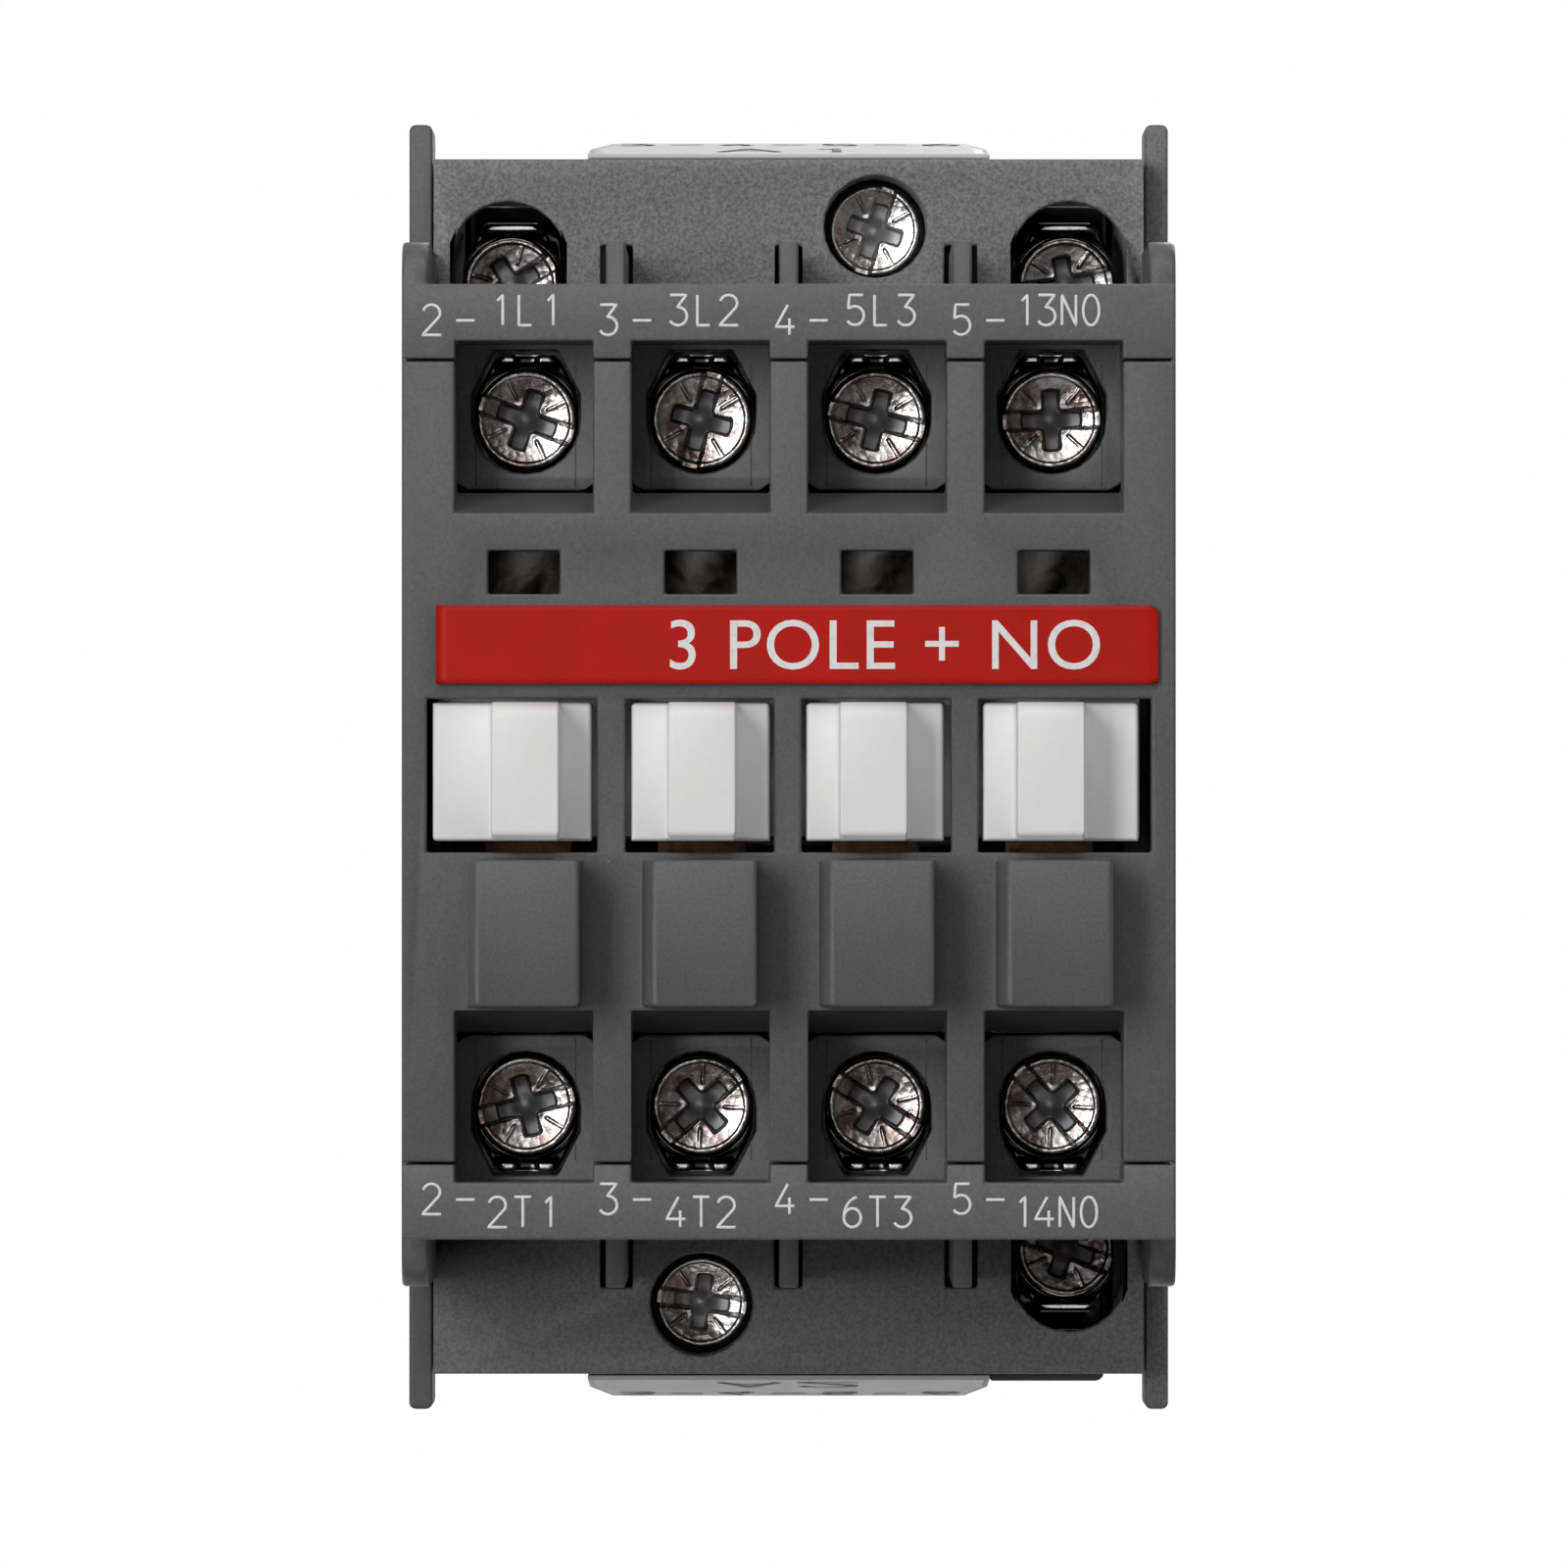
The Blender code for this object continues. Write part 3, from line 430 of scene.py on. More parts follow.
def moulded_plastic(shader, place, colour, roughness=0.5, painted_light=None):
    """Fine-textured moulded plastic: cloudy tone, faint flow lines along Z, grain and dust.

    The painted light is a lighter tone painted where more light should fall. It is given as the axis along
    which it begins, where it starts and where it is full, how many times paler it is, and the share of it
    left at the bottom.
    """
    cloud = noise(place, 260.0, 4.0)
    flow = noise(stretched(place, (5200.0, 5200.0, 420.0)), 1.0, 2.0)
    fine = noise(place, 5200.0, 3.0, 0.65)
    tone = blended(spread(cloud, 0.3, 0.7), shade(colour, 0.93), shade(colour, 1.07))
    tone = blended(spread(flow, 0.35, 0.7, 0.0, 0.5), tone, shade(colour, 1.12))
    # Painted light: the tone is lightened by place, standing in for light that falls there, less towards the
    # bottom if asked.
    if painted_light:
        axis, start, full, paleness, low_share = painted_light
        up = spread(part_of(place, "Z"), -20.0 * MM, 30.0 * MM, low_share, 1.0)
        # film: the share of the painted light at each point.
        film = worked("MULTIPLY", spread(part_of(place, axis), start, full), up)
        tone = blended(film, tone, shade(colour, paleness))
    tone = blended(spread(fine, 0.35, 0.7, 0.0, 0.9), tone, shade(colour, 0.72))
    tone = blended(worked("MULTIPLY", specks(place, 700.0, 0.05), 0.25), tone, DUST)
    coat(
        shader, tone, spread(cloud, 0.3, 0.7, roughness - 0.05, roughness + 0.06),
        (fine, 0.55, 0.022 * MM), (flow, 0.12, 0.02 * MM), (cloud, 0.12, 0.08 * MM), specular=0.42,
    )


def bobbin_plastic(shader, place):
    """Black moulded nylon whose two ends, past the casing, are pale like the labels on them."""
    pale = spread(worked("ABSOLUTE", part_of(place, "Z")), 34.9 * MM, 35.2 * MM)
    cloud = noise(place, 420.0, 3.0)
    fine = noise(place, 4200.0, 2.0)
    dark = blended(spread(cloud, 0.3, 0.7), (0.016, 0.016, 0.017, 1.0), (0.028, 0.028, 0.029, 1.0))
    tone = blended(pale, dark, (0.60, 0.60, 0.60, 1.0))
    coat(shader, tone, spread(cloud, 0.3, 0.7, 0.42, 0.58), (fine, 0.25, 0.02 * MM))


def white_plastic(shader, place, colour):
    """Satin white plastic with a faint yellowed cloud and soft moulding ripple."""
    cloud = noise(place, 330.0, 3.0)
    fine = noise(place, 2600.0, 2.0)
    warm = (colour[0] * 0.99, colour[1] * 0.985, colour[2] * 0.97, 1.0)
    tone = blended(spread(cloud, 0.35, 0.7, 0.0, 0.6), shade(colour, 1.0), warm)
    tone = blended(spread(fine, 0.45, 0.75, 0.0, 0.12), tone, shade(colour, 0.8))
    tone = blended(specks(place, 600.0, 0.04), tone, shade(colour, 0.55))
    coat(shader, tone, spread(cloud, 0.3, 0.7, 0.38, 0.5), (fine, 0.10, 0.02 * MM), (cloud, 0.2, 0.1 * MM))


def printed_red(shader, place, colour):
    """Red printed strip: even ink over a faint film grain, with bright dust."""
    cloud = noise(place, 420.0, 3.0)
    fine = noise(place, 7000.0, 2.0)
    tone = blended(spread(cloud, 0.3, 0.7), shade(colour, 0.94), shade(colour, 1.06))
    tone = blended(spread(fine, 0.4, 0.75, 0.0, 0.35), tone, shade(colour, 0.8))
    tone = blended(specks(place, 620.0, 0.045), tone, (0.9, 0.55, 0.45, 1.0))
    coat(
        shader, tone, spread(cloud, 0.3, 0.7, 0.42, 0.55),
        (fine, 0.15, 0.015 * MM), (cloud, 0.15, 0.08 * MM), specular=0.16,
    )


def ink(shader, place, colour, wear=0.35):
    """Printed ink with small worn patches that show darker."""
    patches = noise(place, 2400.0, 4.0, 0.7)
    tone = blended(spread(patches, 0.5, 0.72, 0.0, wear), shade(colour, 1.0), shade(colour, 0.45))
    coat(shader, tone, spread(patches, 0.3, 0.7, 0.5, 0.7), (patches, 0.3, 0.02 * MM))


def metal(shader, place, light, dark, gloss, patch=900.0, dents=0.3, depth=0.05):
    """Bare or plated metal: two tones in patches, its gloss and small dents following them."""
    mottle = noise(place, patch, 4.0, 0.6, 0.6)
    fine = noise(place, patch * 6.0, 3.0)
    tone = blended(spread(mottle, 0.38, 0.62), shade(dark, 1.0), shade(light, 1.0))
    tone = blended(spread(fine, 0.5, 0.75, 0.0, 0.25), tone, shade(dark, 0.8))
    coat(
        shader, tone, spread(mottle, 0.35, 0.65, *gloss),
        (mottle, dents, depth * MM), (fine, dents * 0.3, depth * 0.3 * MM), metallic=1.0,
    )


def store_mark(item, name, values):
    """Keep a number from 0 to 1 at every point of a mesh, for its material to read."""
    layer = item.data.attributes.new(name, "FLOAT", "POINT")
    layer.data.foreach_set("value", np.asarray(values, dtype=np.float32))


def stored_mark(place, name):
    """The number that store_mark kept, for the tree that a socket belongs to."""
    return node(place.id_data, "ShaderNodeAttribute", attribute_name=name).outputs["Fac"]


def points_of(mesh):
    """A mesh's points as an (n, 3) array."""
    flat = np.zeros(len(mesh.vertices) * 3)
    mesh.vertices.foreach_get("co", flat)
    return flat.reshape(-1, 3)


def hammered_metal(shader, place, light, dark, floor=(0.17, 0.17, 0.18)):
    """Plated steel with struck facets over fine scratches, and a smooth dull floor in its recess painted
    darker as shade.
    """
    cells = node(place.id_data, "ShaderNodeTexVoronoi", {"Vector": place, "Scale": 2300.0})
    small = noise(place, 9000.0, 3.0, 0.7)
    cloud = noise(place, 620.0, 3.0)
    sunk = stored_mark(place, "sunk")
    tone = blended(spread(cloud, 0.4, 0.6), shade(dark, 1.0), shade(light, 1.0))
    tone = blended(spread(small, 0.4, 0.7, 0.0, 0.5), tone, shade(dark, 0.6))
    # Painted shade: where the sunk mark is full, the recess floor takes a darker colour, standing in for
    # shade in the drive.
    tone = blended(sunk, tone, shade(floor, 1.0))
    gloss = worked("ADD", spread(cloud, 0.35, 0.65, 0.2, 0.32), spread(sunk, 0.0, 1.0, 0.0, 0.22))
    rough = spread(sunk, 0.0, 1.0, 1.0, 0.15)
    struck = worked("MULTIPLY", cells.outputs["Distance"], rough)
    coat(
        shader, tone, gloss,
        (struck, 0.6, 0.06 * MM), (worked("MULTIPLY", small, rough), 0.55, 0.02 * MM), metallic=1.0,
    )


def black_nickel(shader, place):
    """Near-black polished plating, with painted highlights of bright metal colour on its raised lips, collar
    arcs and a shoulder.
    """
    cloud = noise(place, 480.0, 3.0)
    fine = noise(place, 4200.0, 3.0)
    worn = worked("MULTIPLY", stored_mark(place, "worn"), spread(fine, 0.3, 0.5, 0.55, 1.0))
    black = blended(spread(cloud, 0.35, 0.65), (0.016, 0.016, 0.018, 1.0), (0.05, 0.048, 0.047, 1.0))
    # Painted highlight: bright metal colour where the clamp would catch the light.
    tone = blended(worn, black, (0.86, 0.85, 0.83, 1.0))
    coat(
        shader, tone, spread(worn, 0.0, 1.0, 0.07, 0.24),
        (cloud, 0.25, 0.06 * MM), (fine, 0.08, 0.01 * MM), metallic=1.0,
    )


def laminated_steel(shader, place, pitch):
    """Core plates stacked along Z: dark joints every pitch, with rusty freckles."""
    part = worked("FRACT", worked("MULTIPLY", part_of(place, "Z"), 1.0 / pitch))
    joint = spread(worked("ABSOLUTE", worked("SUBTRACT", part, 0.5)), 0.36, 0.5, 1.0, 0.0)
    rust = spread(noise(place, 500.0, 5.0, 0.7), 0.58, 0.7)
    tone = blended(joint, (0.05, 0.045, 0.04, 1.0), (0.42, 0.42, 0.43, 1.0))
    tone = blended(rust, tone, (0.20, 0.10, 0.05, 1.0))
    coat(shader, tone, spread(rust, 0.0, 1.0, 0.38, 0.75), (joint, 0.6, 0.05 * MM), metallic=1.0)


def soft_black(shader, place):
    """Matt rubber with a pitted skin."""
    pits = noise(place, 1800.0, 4.0, 0.7)
    tone = blended(spread(pits, 0.3, 0.7), (0.02, 0.02, 0.02, 1.0), (0.05, 0.05, 0.05, 1.0))
    coat(shader, tone, spread(pits, 0.3, 0.7, 0.75, 0.95), (pits, 0.5, 0.05 * MM))


FINISHES = {
    "casing_plastic": (moulded_plastic, "casing", 0.5, DECK_PAINTED_LIGHT),
    "cover_plastic": (moulded_plastic, "cover"),
    "base_plastic_grain": (moulded_plastic, "base", 0.55, SIDE_PAINTED_LIGHT),
    "bobbin_plastic": (bobbin_plastic,),
    "carrier_plastic": (white_plastic, "carrier"),
    "strip_ink": (printed_red, "strip"),
    "white_ink": (ink, "print_white"),
    "grey_ink": (ink, (0.13, 0.13, 0.13), 0.2),
    "label_film": (white_plastic, (0.83, 0.83, 0.83)),
    "zinc_screw": (hammered_metal, (0.66, 0.655, 0.65), (0.25, 0.20, 0.188)),
    "pale_zinc_screw": (hammered_metal, (0.90, 0.89, 0.88), (0.62, 0.60, 0.58), (0.42, 0.42, 0.43)),
    "dark_nickel": (black_nickel,),
    "plated_strip": (metal, (0.24, 0.23, 0.22), (0.10, 0.09, 0.08), (0.14, 0.3), 500.0, 0.25),
    "copper_strip": (metal, (0.62, 0.32, 0.19), (0.30, 0.15, 0.09), (0.28, 0.5), 700.0),
    "spring_wire": (metal, (0.66, 0.66, 0.67), (0.40, 0.39, 0.38), (0.2, 0.36), 1200.0, 0.2, 0.02),
    "core_plates": (laminated_steel, 0.5 * MM),
    "pin_steel": (metal, (0.62, 0.62, 0.63), (0.45, 0.45, 0.45), (0.15, 0.3), 1500.0, 0.1, 0.02),
    "enamelled_wire": (metal, (0.68, 0.33, 0.12), (0.42, 0.17, 0.06), (0.25, 0.42), 2200.0, 0.2, 0.02),
    "pad_rubber": (soft_black,),
}


def finish_named(name):
    """A material by name, made the first time that a piece asks for it.

    A finish is its function and what that needs; a word stands for one of the user's colours.
    """
    material = bpy.data.materials.get(name)
    if material is None:
        material, shader, place = start_material(name)
        make, *values = FINISHES[name]
        colours = bpy.context.scene.contactor_colours
        make(shader, place, *(getattr(colours, each) if isinstance(each, str) else each for each in values))
    return material


# Shells and stamped parts


SHELLS = {
    "contact_housing": ("casing_plastic", 0.0),
    "front_cover": ("cover_plastic", 0.16 * MM),
    "base_housing": ("base_plastic_grain", 0.0),
}


LINE_OFFSET = 2.78
LINE_REACHES = ((15.45, 17.9), (21.3, 22.2))
PLATFORM_FRONT = -59.5 * MM


def mould_lines():
    """Faint raised lines on the platforms beside the main terminals, straight along Z."""
    paths = []
    for side, end in zip(SIDES, (1, -1)):
        for pole in POLES:
            x = centre_of(f"{side}_screw_{pole}")[0]
            for across in (-LINE_OFFSET, LINE_OFFSET):
                for reach in LINE_REACHES:
                    path = np.full((6, 3), PLATFORM_FRONT)
                    path[:, 0] = x + across * MM
                    path[:, 2] = end * np.linspace(*reach, 6) * MM
                    paths.append(path)
    strokes = sweep(paths, 0.09 * MM, 0.07 * MM, 6)
    new_piece("platform_lines", *strokes, "contact_housing", "casing_plastic", replaced=False)


class CONTACTOR_OT_shells(bpy.types.Operator):
    """Round and texture the base housing, the contact housing and the front cover"""

    bl_idname = "contactor.shells"
    bl_label = "Shells"

    def execute(self, context):
        edge = context.scene.contactor_sizes.shell_edge
        for name, (finish, ends) in SHELLS.items():
            shell_of(name, f"{name}_shell", edge, finish, ends)
        mould_lines()
        return {"FINISHED"}


class CONTACTOR_OT_carrier(bpy.types.Operator):
    """Round the white carrier and its tabs"""

    bl_idname = "contactor.carrier"
    bl_label = "Contact carrier"

    def execute(self, context):
        edge = context.scene.contactor_sizes.shell_edge * 1.5
        shell_of("contact_carrier", "carrier_moulding", edge, "carrier_plastic")
        return {"FINISHED"}


class CONTACTOR_OT_contacts(bpy.types.Operator):
    """Copper bridges, fixed contacts and coil plates"""

    bl_idname = "contactor.contacts"
    bl_label = "Contacts"

    def execute(self, context):
        edge = context.scene.contactor_sizes.metal_edge
        for pole in POLES:
            for side in SIDES:
                name = f"{side}_contact_{pole}"
                shell_of(name, f"{side}_strip_{pole}", edge, "plated_strip")
            shell_of(f"contact_bridge_{pole}", f"bridge_strip_{pole}", edge, "copper_strip")
        for corner in COIL_CORNERS:
            shell_of(f"coil_plate_{corner}", f"coil_tag_{corner}", edge, "dark_nickel")
        return {"FINISHED"}


# Screws


def smooth_step(value, start, stop):
    """0 before start, 1 after stop, and a smooth cubic between them."""
    part = np.clip((value - start) / (stop - start), 0.0, 1.0)
    return part * part * (3.0 - 2.0 * part)


def drive_recess(reach, turn, radius):
    """How far a combination drive cuts into a head, at polar places on it.

    A slot runs right across, and its floor rises towards both ends. A cross of four round-ended
    wings, deepest in the middle, lies on it, and between them thin radial ridges stand up.
    """
    across = np.abs(reach * np.sin(turn))
    along = np.abs(reach * np.cos(turn))
    soft = 0.022 * radius
    floor = (0.17 - 0.03 * np.clip((reach - 0.58 * radius) / (0.42 * radius), 0.0, 1.0)) * radius
    slot = floor * (1.0 - smooth_step(across, 0.19 * radius - soft, 0.19 * radius + soft))
    upright = np.where(along < across, along, across)
    wing = 1.0 - smooth_step(upright, 0.165 * radius - soft, 0.165 * radius + soft)
    inside = 1.0 - smooth_step(reach, 0.60 * radius, 0.64 * radius)
    core = 1.0 - smooth_step(across + along, 0.36 * radius, 0.44 * radius)
    cross = 0.44 * radius * np.maximum(wing * inside, core)
    quarter = np.abs(np.mod(np.degrees(turn), 90.0) - 45.0)
    off = np.radians(quarter) * reach
    ridge = 1.0 - smooth_step(off, 0.012 * radius, 0.035 * radius)
    ridge *= smooth_step(reach, 0.42 * radius, 0.5 * radius)
    ridge *= 1.0 - smooth_step(reach, 0.84 * radius, 0.9 * radius)
    ridge *= 1.0 - smooth_step(slot + cross, 0.0, 0.05 * radius)
    return np.maximum(slot, cross) - 0.05 * radius * ridge


def screw_grid(radius, height, shank, length, pitch, steps):
    """Rings of a screw about -Y, from the middle of its head to its tip, as (out, depth) over angle.

    The head is a shallow dish less the drive recess, inside a raised rim with a chamfer. The
    shank's radius falls and rises once each pitch along it, and lags by a pitch a turn.
    """
    turn = np.linspace(0, 2 * np.pi, steps, endpoint=False)
    top = np.linspace(0.0, 0.95, 58) * radius
    bend = np.linspace(0.0, np.pi / 2, 6)[1:]
    rim = 0.05 * radius
    out = [top, radius - rim + rim * np.sin(bend), np.array([radius, radius - rim, shank])]
    dish = 0.21 * (0.86 * radius - np.minimum(top, 0.86 * radius)) * smooth_step(top, 0.0, 0.5 * radius)
    dish += 0.05 * radius * (1.0 - smooth_step(top, 0.86 * radius, 0.91 * radius))
    edge = dish[-1] + 2.0 * rim * (1.0 - np.cos(bend))
    deep = [dish, edge, np.array([height - rim, height, height])]
    body = np.linspace(height + 0.1 * MM, length - 0.5 * MM, int((length - height) / pitch * 6))
    out += [np.full(len(body), shank), np.array([shank * 0.7, 0.0])]
    deep += [body, np.array([length, length])]
    reach, depth = np.concatenate(out), np.concatenate(deep)
    reach = reach[:, None] + np.zeros(steps)
    depth = depth[:, None] + np.zeros(steps)
    rows = len(top)
    depth[:rows] += drive_recess(reach[:rows], turn[None, :], radius)
    side = slice(rows, rows + len(bend) + 1)
    lip = smooth_step(np.abs(reach[side] * np.sin(turn)), 0.168 * radius, 0.212 * radius)
    depth[side] = np.maximum(depth[side], depth[side] * lip + (1.0 - lip) * depth[rows - 1:rows])
    start = rows + len(bend) + 3
    thread = slice(start, start + len(body))
    wave = np.abs(np.mod(body[:, None] / pitch - turn / (2 * np.pi), 1.0) - 0.5) * 2.0
    reach[thread] -= 0.16 * shank * wave
    return reach, depth, turn


HEAD_HEIGHT = 2.3 * MM
SHANK_SHARE = {"zinc_screw": 0.636, "pale_zinc_screw": 0.577}


def make_screw(node_name, name, steps, pitch, twist):
    """A detailed screw in place of a plain one, its drive turned by twist degrees."""
    low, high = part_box(node_name)
    middle = centre_of(node_name)
    radius = (high.x - low.x) / 2
    plating = "pale_zinc_screw" if "housing" in node_name else "zinc_screw"
    shank = SHANK_SHARE[plating] * radius
    reach, depth, turn = screw_grid(radius, HEAD_HEIGHT, shank, high.y - low.y, pitch, steps)
    angle = turn[None, :] + math.radians(twist)
    x, z = middle[0] + reach * np.cos(angle), middle[2] + reach * np.sin(angle)
    item = revolve(name, np.stack([x, low.y + depth, z], axis=-1))
    place = points_of(item.data)
    out = np.hypot(place[:, 0] - middle[0], place[:, 2] - middle[2])
    # The sunk mark is also where the material paints shade on the recess floor.
    sunk = smooth_step(place[:, 1] - low.y, 0.27 * radius, 0.33 * radius)
    store_mark(item, "sunk", sunk * (1.0 - smooth_step(out, 0.62 * radius, 0.66 * radius)))
    return register_piece(item, node_name, plating)


TWISTS = {
    "line": (-20.0, 75.0, -14.0, 2.0),
    "load": (14.0, 42.0, -32.0, -48.0),
    "coil": (30.0, 10.0, -20.0),
    "housing": (72.0, -8.0),
}


class CONTACTOR_OT_screws(bpy.types.Operator):
    """Terminal, coil and housing screws with combination drives and threads"""

    bl_idname = "contactor.screws"
    bl_label = "Screws"

    def execute(self, context):
        sizes = context.scene.contactor_sizes
        for group, twists in TWISTS.items():
            for number, twist in enumerate(twists, 1):
                names = f"{group}_screw_{number}", f"{group}_drive_screw_{number}"
                make_screw(*names, sizes.around, sizes.thread_pitch, twist)
        return {"FINISHED"}


def clamp_outline(turn, radius, reach):
    """Distance from a clamp's hole to its edge: a half circle, two sides, two slants and a flat end.

    Outwards it is the soft least of the distances to the straight edges, a 30th-power mean.
    """
    across, outward = np.abs(np.cos(turn)), np.maximum(np.sin(turn), 1e-6)
    shoulder, flat = np.array([radius, 0.40 * reach]), np.array([0.6 * radius, reach])
    slope = np.array([flat[1] - shoulder[1], shoulder[0] - flat[0]])
    slope /= np.linalg.norm(slope)
    walls = (
        radius / np.maximum(across, 1e-6),
        slope @ shoulder / (slope[0] * across + slope[1] * outward),
        reach / outward,
    )
    soft = sum((1.0 / wall) ** 30.0 for wall in walls) ** (-1.0 / 30.0)
    return np.where(np.sin(turn) > 0.0, soft, radius)


CLAMP_HOLE = 2.05 * MM
CLAMP_ROLL = 0.22 * MM
COLLAR_RADIUS = 2.93 * MM


def clamp_painted_highlights(u, v, reach, deep):
    """Where a clamp is painted with bright highlights: the lips or a curved bar, arcs of the collar, a
    shoulder.

    Each is a product of smooth steps in the distance from its middle line.
    """
    out, turn = np.hypot(u, v), np.degrees(np.arctan2(v, u))
    if deep:
        line = v - (reach - 0.24 * MM - 60.0 * (u - 0.2 * MM) ** 2)
        worn = 1.0 - smooth_step(np.abs(line), 0.10 * MM, 0.20 * MM)
        worn *= 1.0 - smooth_step(np.abs(u - 0.25 * MM), 1.2 * MM, 1.9 * MM)
    else:
        left = 1.0 - smooth_step(np.abs(u + 1.05 * MM), 0.34 * MM, 0.46 * MM)
        right = 1.0 - smooth_step(np.abs(u - 0.85 * MM), 0.48 * MM, 0.62 * MM)
        worn = np.maximum(left, right)
        worn *= smooth_step(v, reach - 0.30 * MM, reach - 0.22 * MM)
    crest = 1.0 - smooth_step(np.abs(out - 3.0 * MM), 0.07 * MM, 0.17 * MM)
    # Painted highlight arcs on the collar, at its upper left and its right, where the light falls.
    upper_left = 1.0 - smooth_step(np.abs(turn - 138.0), 14.0, 30.0)
    right = 1.0 - smooth_step(np.abs(turn - 22.0), 20.0, 40.0)
    spot = 1.0 - smooth_step(np.hypot(u + 2.9 * MM, v - 0.55 * MM), 0.12 * MM, 0.26 * MM)
    return np.maximum.reduce([worn, 0.9 * crest * np.maximum(upper_left, right), spot])


def make_clamp(node_name, name, end):
    """A pressed clamp plate: a collar round the screw head, rolled edges, and two outer lips.

    Its height over the plate is a bell curve of the distance from the head, plus a smooth step
    up at the lips, less a quarter ellipse near the edge.
    """
    low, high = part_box(node_name)
    radius = (high.x - low.x) / 2
    reach = high.z - low.z - radius
    x = (low.x + high.x) / 2
    z = low.z + radius if end > 0 else high.z - radius
    turn = np.linspace(0, 2 * np.pi, 132, endpoint=False)
    share = 1.0 - (1.0 - np.linspace(0.0, 1.0, 34)) ** 1.6
    edge = clamp_outline(turn, radius + 0.1 * MM, reach + 0.1 * MM)
    out = CLAMP_HOLE + share[:, None] * (edge - CLAMP_HOLE)
    u, v = out * np.cos(turn), out * np.sin(turn)
    inset = edge - out
    rolled = np.clip(1.0 - inset / CLAMP_ROLL, 0.0, 1.0)
    bell = np.exp(-((out - COLLAR_RADIUS) / (0.15 * MM)) ** 2)
    lift = 0.45 * MM * bell * smooth_step(inset, 0.0, 0.3 * MM)
    lips = 1.0 - smooth_step(np.abs(u), 1.5 * MM, 1.75 * MM)
    if "coil" not in node_name:
        lips *= smooth_step(np.abs(u), 0.5 * MM, 0.62 * MM)
    lift += 0.75 * MM * lips * smooth_step(v, reach - 0.75 * MM, reach - 0.3 * MM)
    lift -= CLAMP_ROLL * (1.0 - np.sqrt(1.0 - 0.98 * rolled ** 2))
    plate = low.y + 0.9 * MM
    front = np.stack([x + u, plate - lift, z + end * v], axis=-1)
    back = front[::-1].copy()
    back[..., 1] = high.y
    rings = np.concatenate([front, back, front[:1]])
    item = face_outwards(mesh_object(name, rings, grid_faces(len(rings), len(turn), around=True)))
    place = points_of(item.data)
    # Painted highlights: the mark for the lips, the collar's upper-left and right arcs, and the left
    # shoulder.
    store_mark(item, "worn", clamp_painted_highlights(place[:, 0] - x, end * (place[:, 2] - z), reach, "coil" in node_name))
    return register_piece(item, node_name, "dark_nickel")


class CONTACTOR_OT_clamps(bpy.types.Operator):
    """Captive clamps under the terminal screws, with their collars and lips"""

    bl_idname = "contactor.clamps"
    bl_label = "Clamps"

    def execute(self, context):
        for group, ends in (("line", (1, 1, 1, 1)), ("load", (-1, -1, -1, -1)), ("coil", (1, 1, -1))):
            for number, end in enumerate(ends, 1):
                make_clamp(f"{group}_clamp_{number}", f"{group}_clamp_plate_{number}", end)
        return {"FINISHED"}


# Springs


def wire_helix(name, node_name, axis, wire, turns, sides=10, steps=28):
    """A compression spring: a circle of wire along a helix whose pitch closes up at both ends.

    The centre line is radius (cos a, sin a) across the axis, and along it a share
    s - sin(2 pi s) / (2 pi) * 0.5 of the free length, where s runs from 0 to 1 with the angle a.
    """
    low, high = (np.array(corner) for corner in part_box(node_name))
    others = [n for n in range(3) if n != axis]
    radius = (high[others[0]] - low[others[0]]) / 2 - wire / 2
    middle = (low + high) / 2
    share = np.linspace(0.0, 1.0, int(turns * steps) + 1)
    angle = 2 * np.pi * turns * share
    rise = share - 0.5 * np.sin(2 * np.pi * share) / (2 * np.pi)
    length = high[axis] - low[axis] - wire
    path = np.zeros((len(share), 3))
    path[:, axis] = low[axis] + wire / 2 + rise * length
    outward = np.zeros_like(path)
    outward[:, others[0]], outward[:, others[1]] = np.cos(angle), np.sin(angle)
    path[:, others[0]] = middle[others[0]]
    path[:, others[1]] = middle[others[1]]
    path += outward * radius
    along = np.zeros(3)
    along[axis] = 1.0
    tilt = np.linspace(0, 2 * np.pi, sides, endpoint=False)
    ring = path[:, None] + wire / 2 * (
        outward[:, None] * np.cos(tilt)[None, :, None] + along * np.sin(tilt)[None, :, None]
    )
    return new_piece(name, ring, tube_faces(len(path), sides), node_name, "spring_wire")


class CONTACTOR_OT_springs(bpy.types.Operator):
    """Return springs, contact springs and the rail clip's spring"""

    bl_idname = "contactor.springs"
    bl_label = "Springs"

    def execute(self, context):
        for number in (1, 2):
            node_name = f"return_spring_{number}"
            item = wire_helix(f"return_coil_{number}", node_name, 1, 0.6 * MM, 5.5)
            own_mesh(item)
        for pole in POLES:
            node_name = f"contact_spring_{pole}"
            item = wire_helix(f"contact_coil_{pole}", node_name, 1, 0.5 * MM, 5.5)
            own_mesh(item)
        item = wire_helix("rail_clip_coil", "din_clip_spring", 2, 0.4 * MM, 8.5)
        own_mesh(item)
        return {"FINISHED"}


# Coil, magnet and rail clip


